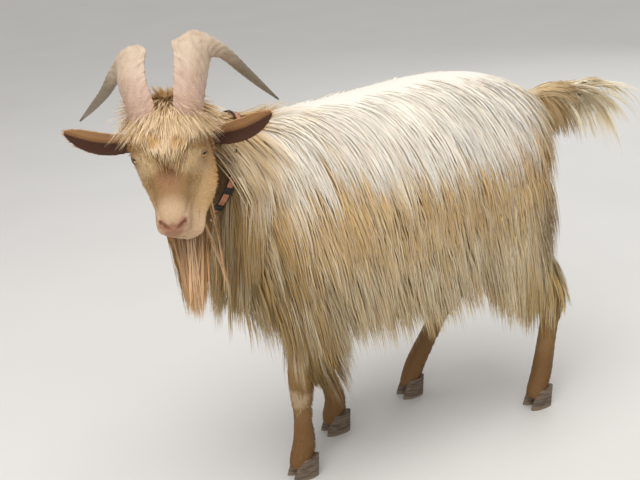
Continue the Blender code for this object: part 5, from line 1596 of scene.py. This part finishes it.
def hoof_finish():
    """Dark grey-brown horn with dusty rings, worn pale at the ground."""
    made, recipe, shader = new_finish("hoof_horn", 0.55, Specular_IOR_Level=0.4)
    place = goat_place(recipe)
    rings = recipe.noise(recipe.vector("MULTIPLY", place, (45.0, 45.0, 520.0)), 1.0, 3.0)
    colour = recipe.mix(recipe.ramp(rings, 0.35, 0.7), (0.075, 0.050, 0.034), (0.20, 0.145, 0.10))
    low_edge = recipe.vector("DOT_PRODUCT", place, (0, 0, 1), output=1)
    colour = recipe.mix(recipe.ramp(low_edge, 0.010, 0.001, 0.0, 0.6), colour, (0.26, 0.20, 0.14))
    recipe.tree.links.new(colour, shader.inputs["Base Color"])
    bump(recipe, shader, rings, 0.35, 0.0008)
    return made


HOOF = hoof_finish()
claws = {}
for leg_name, joints in LEGS.items():
    for label, outward in (("inner", 1), ("outer", -1)):
        sign = outward if joints["toe"][1] < 0 else -outward
        key = f"{leg_name}_{label}"
        claws[key] = add_piece("claw_" + key, claw_mesh(joints["toe"], sign, "hind" in leg_name))
        claws[key].data.materials.append(HOOF)
print(len(claws), "claws")

# %% [markdown]
# ## Collar
# The collar is a flat tan leather strap with black edging, two black keepers and a steel ring. Its line
# comes from the frame's own strap, so it lies exactly where the frame has it; only the edging and the
# finishes are added here.

# %% Collar shapes
STRAP_WIDTH, STRAP_THICK, STEPS_ROUND = 0.015, 0.003, 36
RIGHT = Vector((0, 1, 0))
UP = COLLAR_WAY.cross(RIGHT) * -1
strap_points = points_of(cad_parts["collar_strap"].data) - np.array(SHIFT + COLLAR_CENTRE)
strap_angle = np.arctan2(strap_points @ np.array(UP), strap_points @ np.array(RIGHT))
strap_reach = np.hypot(strap_points @ np.array(UP), strap_points @ np.array(RIGHT))
turns = np.round(strap_angle / (2 * math.pi) * STEPS_ROUND).astype(int) % STEPS_ROUND
radii = np.array([strap_reach[turns == k].min() for k in range(STEPS_ROUND)])
print("collar radius", radii.min().round(4), "to", radii.max().round(4))


def collar_radius(k):
    """The strap's inner radius at a step round the neck, between two measured ones where k isn't whole."""
    whole, part = int(math.floor(k)) % STEPS_ROUND, k - math.floor(k)
    return radii[whole] * (1 - part) + radii[(whole + 1) % STEPS_ROUND] * part


def band(outline, first=0.0, last=STEPS_ROUND, steps=144):
    """A strap swept round the neck; outline is its section as (out from the skin, along the neck)."""
    closed = last - first >= STEPS_ROUND
    rings = []
    for n in range(steps if closed else steps + 1):
        k = first + (last - first) * n / steps
        angle = 2 * math.pi * k / STEPS_ROUND
        ray = RIGHT * math.cos(angle) + UP * math.sin(angle)
        rings.append([COLLAR_CENTRE + ray * (collar_radius(k) + out) + COLLAR_WAY * edge
                      for out, edge in outline])
    return loft(rings, closed)


def rounded(inner, outer, low_edge, high_edge, round_off):
    """A strap's section with rounded edges."""
    section = []
    near, far = inner + round_off, outer - round_off
    below, above = low_edge + round_off, high_edge - round_off
    for quarter, (out, edge) in enumerate(((far, above), (near, above), (near, below), (far, below))):
        for n in range(4):
            angle = math.pi / 2 * (quarter + n / 3)
            section.append((out + round_off * math.cos(angle), edge + round_off * math.sin(angle)))
    return section


def ring_mesh(centre, axis, radius, wire, turns_round=48, sides=16):
    """A closed wire ring."""
    up = axis.normalized()
    first = up.orthogonal().normalized()
    second = up.cross(first)
    rings = []
    for c, s in circle(turns_round):
        ray = first * c + second * s
        rings.append([centre + ray * (radius + wire * out) + up * wire * rise for out, rise in circle(sides)])
    return mesh_from("ring", loft(rings, shut=True))


# %% Collar finishes
def leather_finish(name, dark, light, roughness):
    """Leather: blotchy colour and a fine pebbled grain."""
    made, recipe, shader = new_finish(name, roughness, Specular_IOR_Level=0.4)
    place = goat_place(recipe)
    blotch = recipe.noise(place, 60.0, 4.0)
    grain = recipe.node("ShaderNodeTexVoronoi", {"Vector": place, "Scale": 900.0}, feature="DISTANCE_TO_EDGE")
    recipe.tree.links.new(recipe.mix(recipe.ramp(blotch, 0.3, 0.7), dark, light), shader.inputs["Base Color"])
    bump(recipe, shader, recipe.ramp(grain, 0.0, 0.25), 0.35, 0.0003)
    return made


def steel_finish():
    """Bright steel with fine scratches."""
    made, recipe, shader = new_finish("bright_steel", 0.25, Metallic=1.0)
    scratches = recipe.noise(recipe.vector("MULTIPLY", goat_place(recipe), (900.0, 200.0, 900.0)), 1.0, 2.0)
    colour = recipe.mix(recipe.ramp(scratches, 0.3, 0.7), (0.62, 0.62, 0.61), (0.78, 0.78, 0.77))
    recipe.tree.links.new(colour, shader.inputs["Base Color"])
    bump(recipe, shader, scratches, 0.1, 0.0002)
    return made


TAN = leather_finish("tan_leather", (0.42, 0.15, 0.075), (0.66, 0.28, 0.15), 0.5)
BLACK = leather_finish("black_edging", (0.012, 0.012, 0.013), (0.03, 0.03, 0.032), 0.55)
STEEL = steel_finish()

# %% Collar pieces
half = STRAP_WIDTH / 2
INSET, EDGING_WIDTH = 0.0012, 0.0022
section = rounded(0.0, STRAP_THICK, -half + INSET, half - INSET, 0.0008)
strap = add_piece("strap", mesh_from("strap", band(section)))
strap.data.materials.append(TAN)
edges = []
for label, sign in (("fore", 1), ("hind", -1)):
    inside, outside = sorted((sign * (half - EDGING_WIDTH), sign * half))
    section = rounded(-0.0001, STRAP_THICK + 0.0004, inside, outside, 0.0009)
    edges.append(add_piece("edging_" + label, mesh_from("edge", band(section))))
    edges[-1].data.materials.append(BLACK)
keepers = []
section = rounded(STRAP_THICK + 0.0003, STRAP_THICK + 0.0022, -half - 0.001, half + 0.001, 0.0008)
for n, (first, last) in enumerate(((20.4, 21.2), (22.9, 23.7))):
    keepers.append(add_piece(f"keeper_{n + 1}", mesh_from("keeper", band(section, first, last, 10))))
    keepers[-1].data.materials.append(BLACK)
low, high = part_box("collar_ring")
ring_centre = (low + high) / 2 - SHIFT
from_centre = ring_centre - COLLAR_CENTRE
ray = (from_centre - COLLAR_WAY * from_centre.dot(COLLAR_WAY)).normalized()
ring = add_piece("ring", ring_mesh(ring_centre, COLLAR_WAY.cross(ray), 0.0065, 0.0014))
ring.data.materials.append(STEEL)
collar = [strap, ring] + edges + keepers
for piece in collar:
    shade_smooth(piece.data)
print("collar of", len(collar), "pieces")

# %% [markdown]
# ## Dress the frame
# Every piece is moved from the goat's own coordinates to the frame's place, rides on the frame's one
# body, and hides the plain solids that it stands for, if any.

# %% Place, ride and replace
FLESH = ["torso", "neck", "tail", "head", "jaw", "ear_left", "ear_right"]
FLESH += ["leg_" + leg_name for leg_name in LEGS]
GOLDEN = ("beard", "forelock", "fur_face", "fur_ears", "coat_neck", "coat_throat", "coat_tail")


def dress(piece, slot, *nodes):
    """Moves a piece to its place and ties it to the frame."""
    piece.data.transform(Matrix.Translation(SHIFT))
    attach(piece, "root")
    if nodes:
        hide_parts(*nodes)


dress(hide, "body_hair", *FLESH)
for piece in coat:
    slot = "leg_hair" if any(leg_name in piece.name for leg_name in LEGS) else "body_hair"
    if piece.name in GOLDEN:
        slot = "golden_hair"
    dress(piece, slot)
for label in ("left", "right"):
    dress(horns[label], "horn", "horn_" + label)
    dress(eyes[label], "eye", "eye_" + label)
for key, claw in claws.items():
    dress(claw, "hoof", "hoof_" + key)
dress(strap, "strap_leather", "collar_strap")
for n, keeper in enumerate(keepers):
    dress(keeper, "black_leather", f"collar_keeper_{n + 1}")
for edge in edges:
    dress(edge, "black_leather")
dress(ring, "collar_metal", "collar_ring")

# %% [markdown]
# ## Floor, light and camera
# The museum stand is a plain pale floor. One broad light overhead and two softer ones, at the left front
# and the right rear, stand for an overcast sky. The camera looks down at the goat from its left front,
# through a lens that shows as much as the eye of a person three paces away.

# %% Stage
bm = bmesh.new()
bmesh.ops.create_grid(bm, x_segments=4, y_segments=4, size=30.0)
floor = add_piece("floor", mesh_from("floor", bm))
paint, recipe, shader = new_finish("pale_floor", 0.85)
mottle = recipe.noise(recipe.node("ShaderNodeNewGeometry"), 2.0, 4.0)
recipe.tree.links.new(recipe.mix(mottle, (0.66, 0.65, 0.63), (0.72, 0.71, 0.69)), shader.inputs["Base Color"])
floor.data.materials.append(paint)
floor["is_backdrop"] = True


def soft_light(name, place, target, size, power, colour):
    """A broad area light aimed at a place."""
    lamp = bpy.data.lights.new(name, "AREA")
    lamp.shape, lamp.size, lamp.energy, lamp.color = "DISK", size, power, colour
    made = bpy.data.objects.new(name, lamp)
    made.location = place
    made.rotation_euler = (Vector(target) - Vector(place)).to_track_quat("-Z", "Y").to_euler()
    bpy.context.scene.collection.objects.link(made)
    return made


soft_light("sky", (-0.6, -0.8, 3.4), (0, 0, 0.4), 3.0, 77, (1.0, 0.985, 0.96))
soft_light("left_fill", (-2.6, -2.6, 1.8), (0, 0, 0.5), 2.2, 35, (1.0, 0.98, 0.95))
soft_light("rear_fill", (2.6, 2.2, 2.0), (0, 0, 0.5), 2.2, 18, (0.96, 0.98, 1.0))
world = bpy.data.worlds.new("studio")
bpy.context.scene.world = world
world.use_nodes = True
world.node_tree.nodes["Background"].inputs["Color"].default_value = (0.88, 0.87, 0.86, 1.0)
world.node_tree.nodes["Background"].inputs["Strength"].default_value = 0.70

# %% Camera
YAW, PITCH, ROLL = (math.radians(a) for a in (24.1, 20.2, -5.4))
VIEW_PLACE = Vector((-0.935, -1.79, 1.185))
FOCAL_PIXELS, FRAME_PIXELS = 1060.0, 640.0
ahead = Vector((math.sin(YAW) * math.cos(PITCH), math.cos(YAW) * math.cos(PITCH), -math.sin(PITCH)))
level_right = Vector((math.cos(YAW), -math.sin(YAW), 0))
level_up = level_right.cross(ahead)
right = level_right * math.cos(ROLL) + level_up * math.sin(ROLL)
above = level_up * math.cos(ROLL) - level_right * math.sin(ROLL)
lens = bpy.data.cameras.new("camera")
lens.sensor_width = 36.0
lens.lens = 36.0 * FOCAL_PIXELS / FRAME_PIXELS
lens.clip_start, lens.clip_end = 0.05, 50.0
camera = bpy.data.objects.new("camera", lens)
spot = VIEW_PLACE + SHIFT
camera.matrix_world = Matrix(((right.x, above.x, -ahead.x, spot.x), (right.y, above.y, -ahead.y, spot.y),
                              (right.z, above.z, -ahead.z, spot.z), (0, 0, 0, 1)))
bpy.context.scene.collection.objects.link(camera)
bpy.context.scene.camera = camera
bpy.context.scene.view_settings.view_transform = "Standard"
print("lens", round(lens.lens, 1), "mm")

# %% [markdown]
# ## Measure
# Loose hair stands out a little beyond the frame, so the box round all that is shown is measured.

# %% Sizes
low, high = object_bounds()
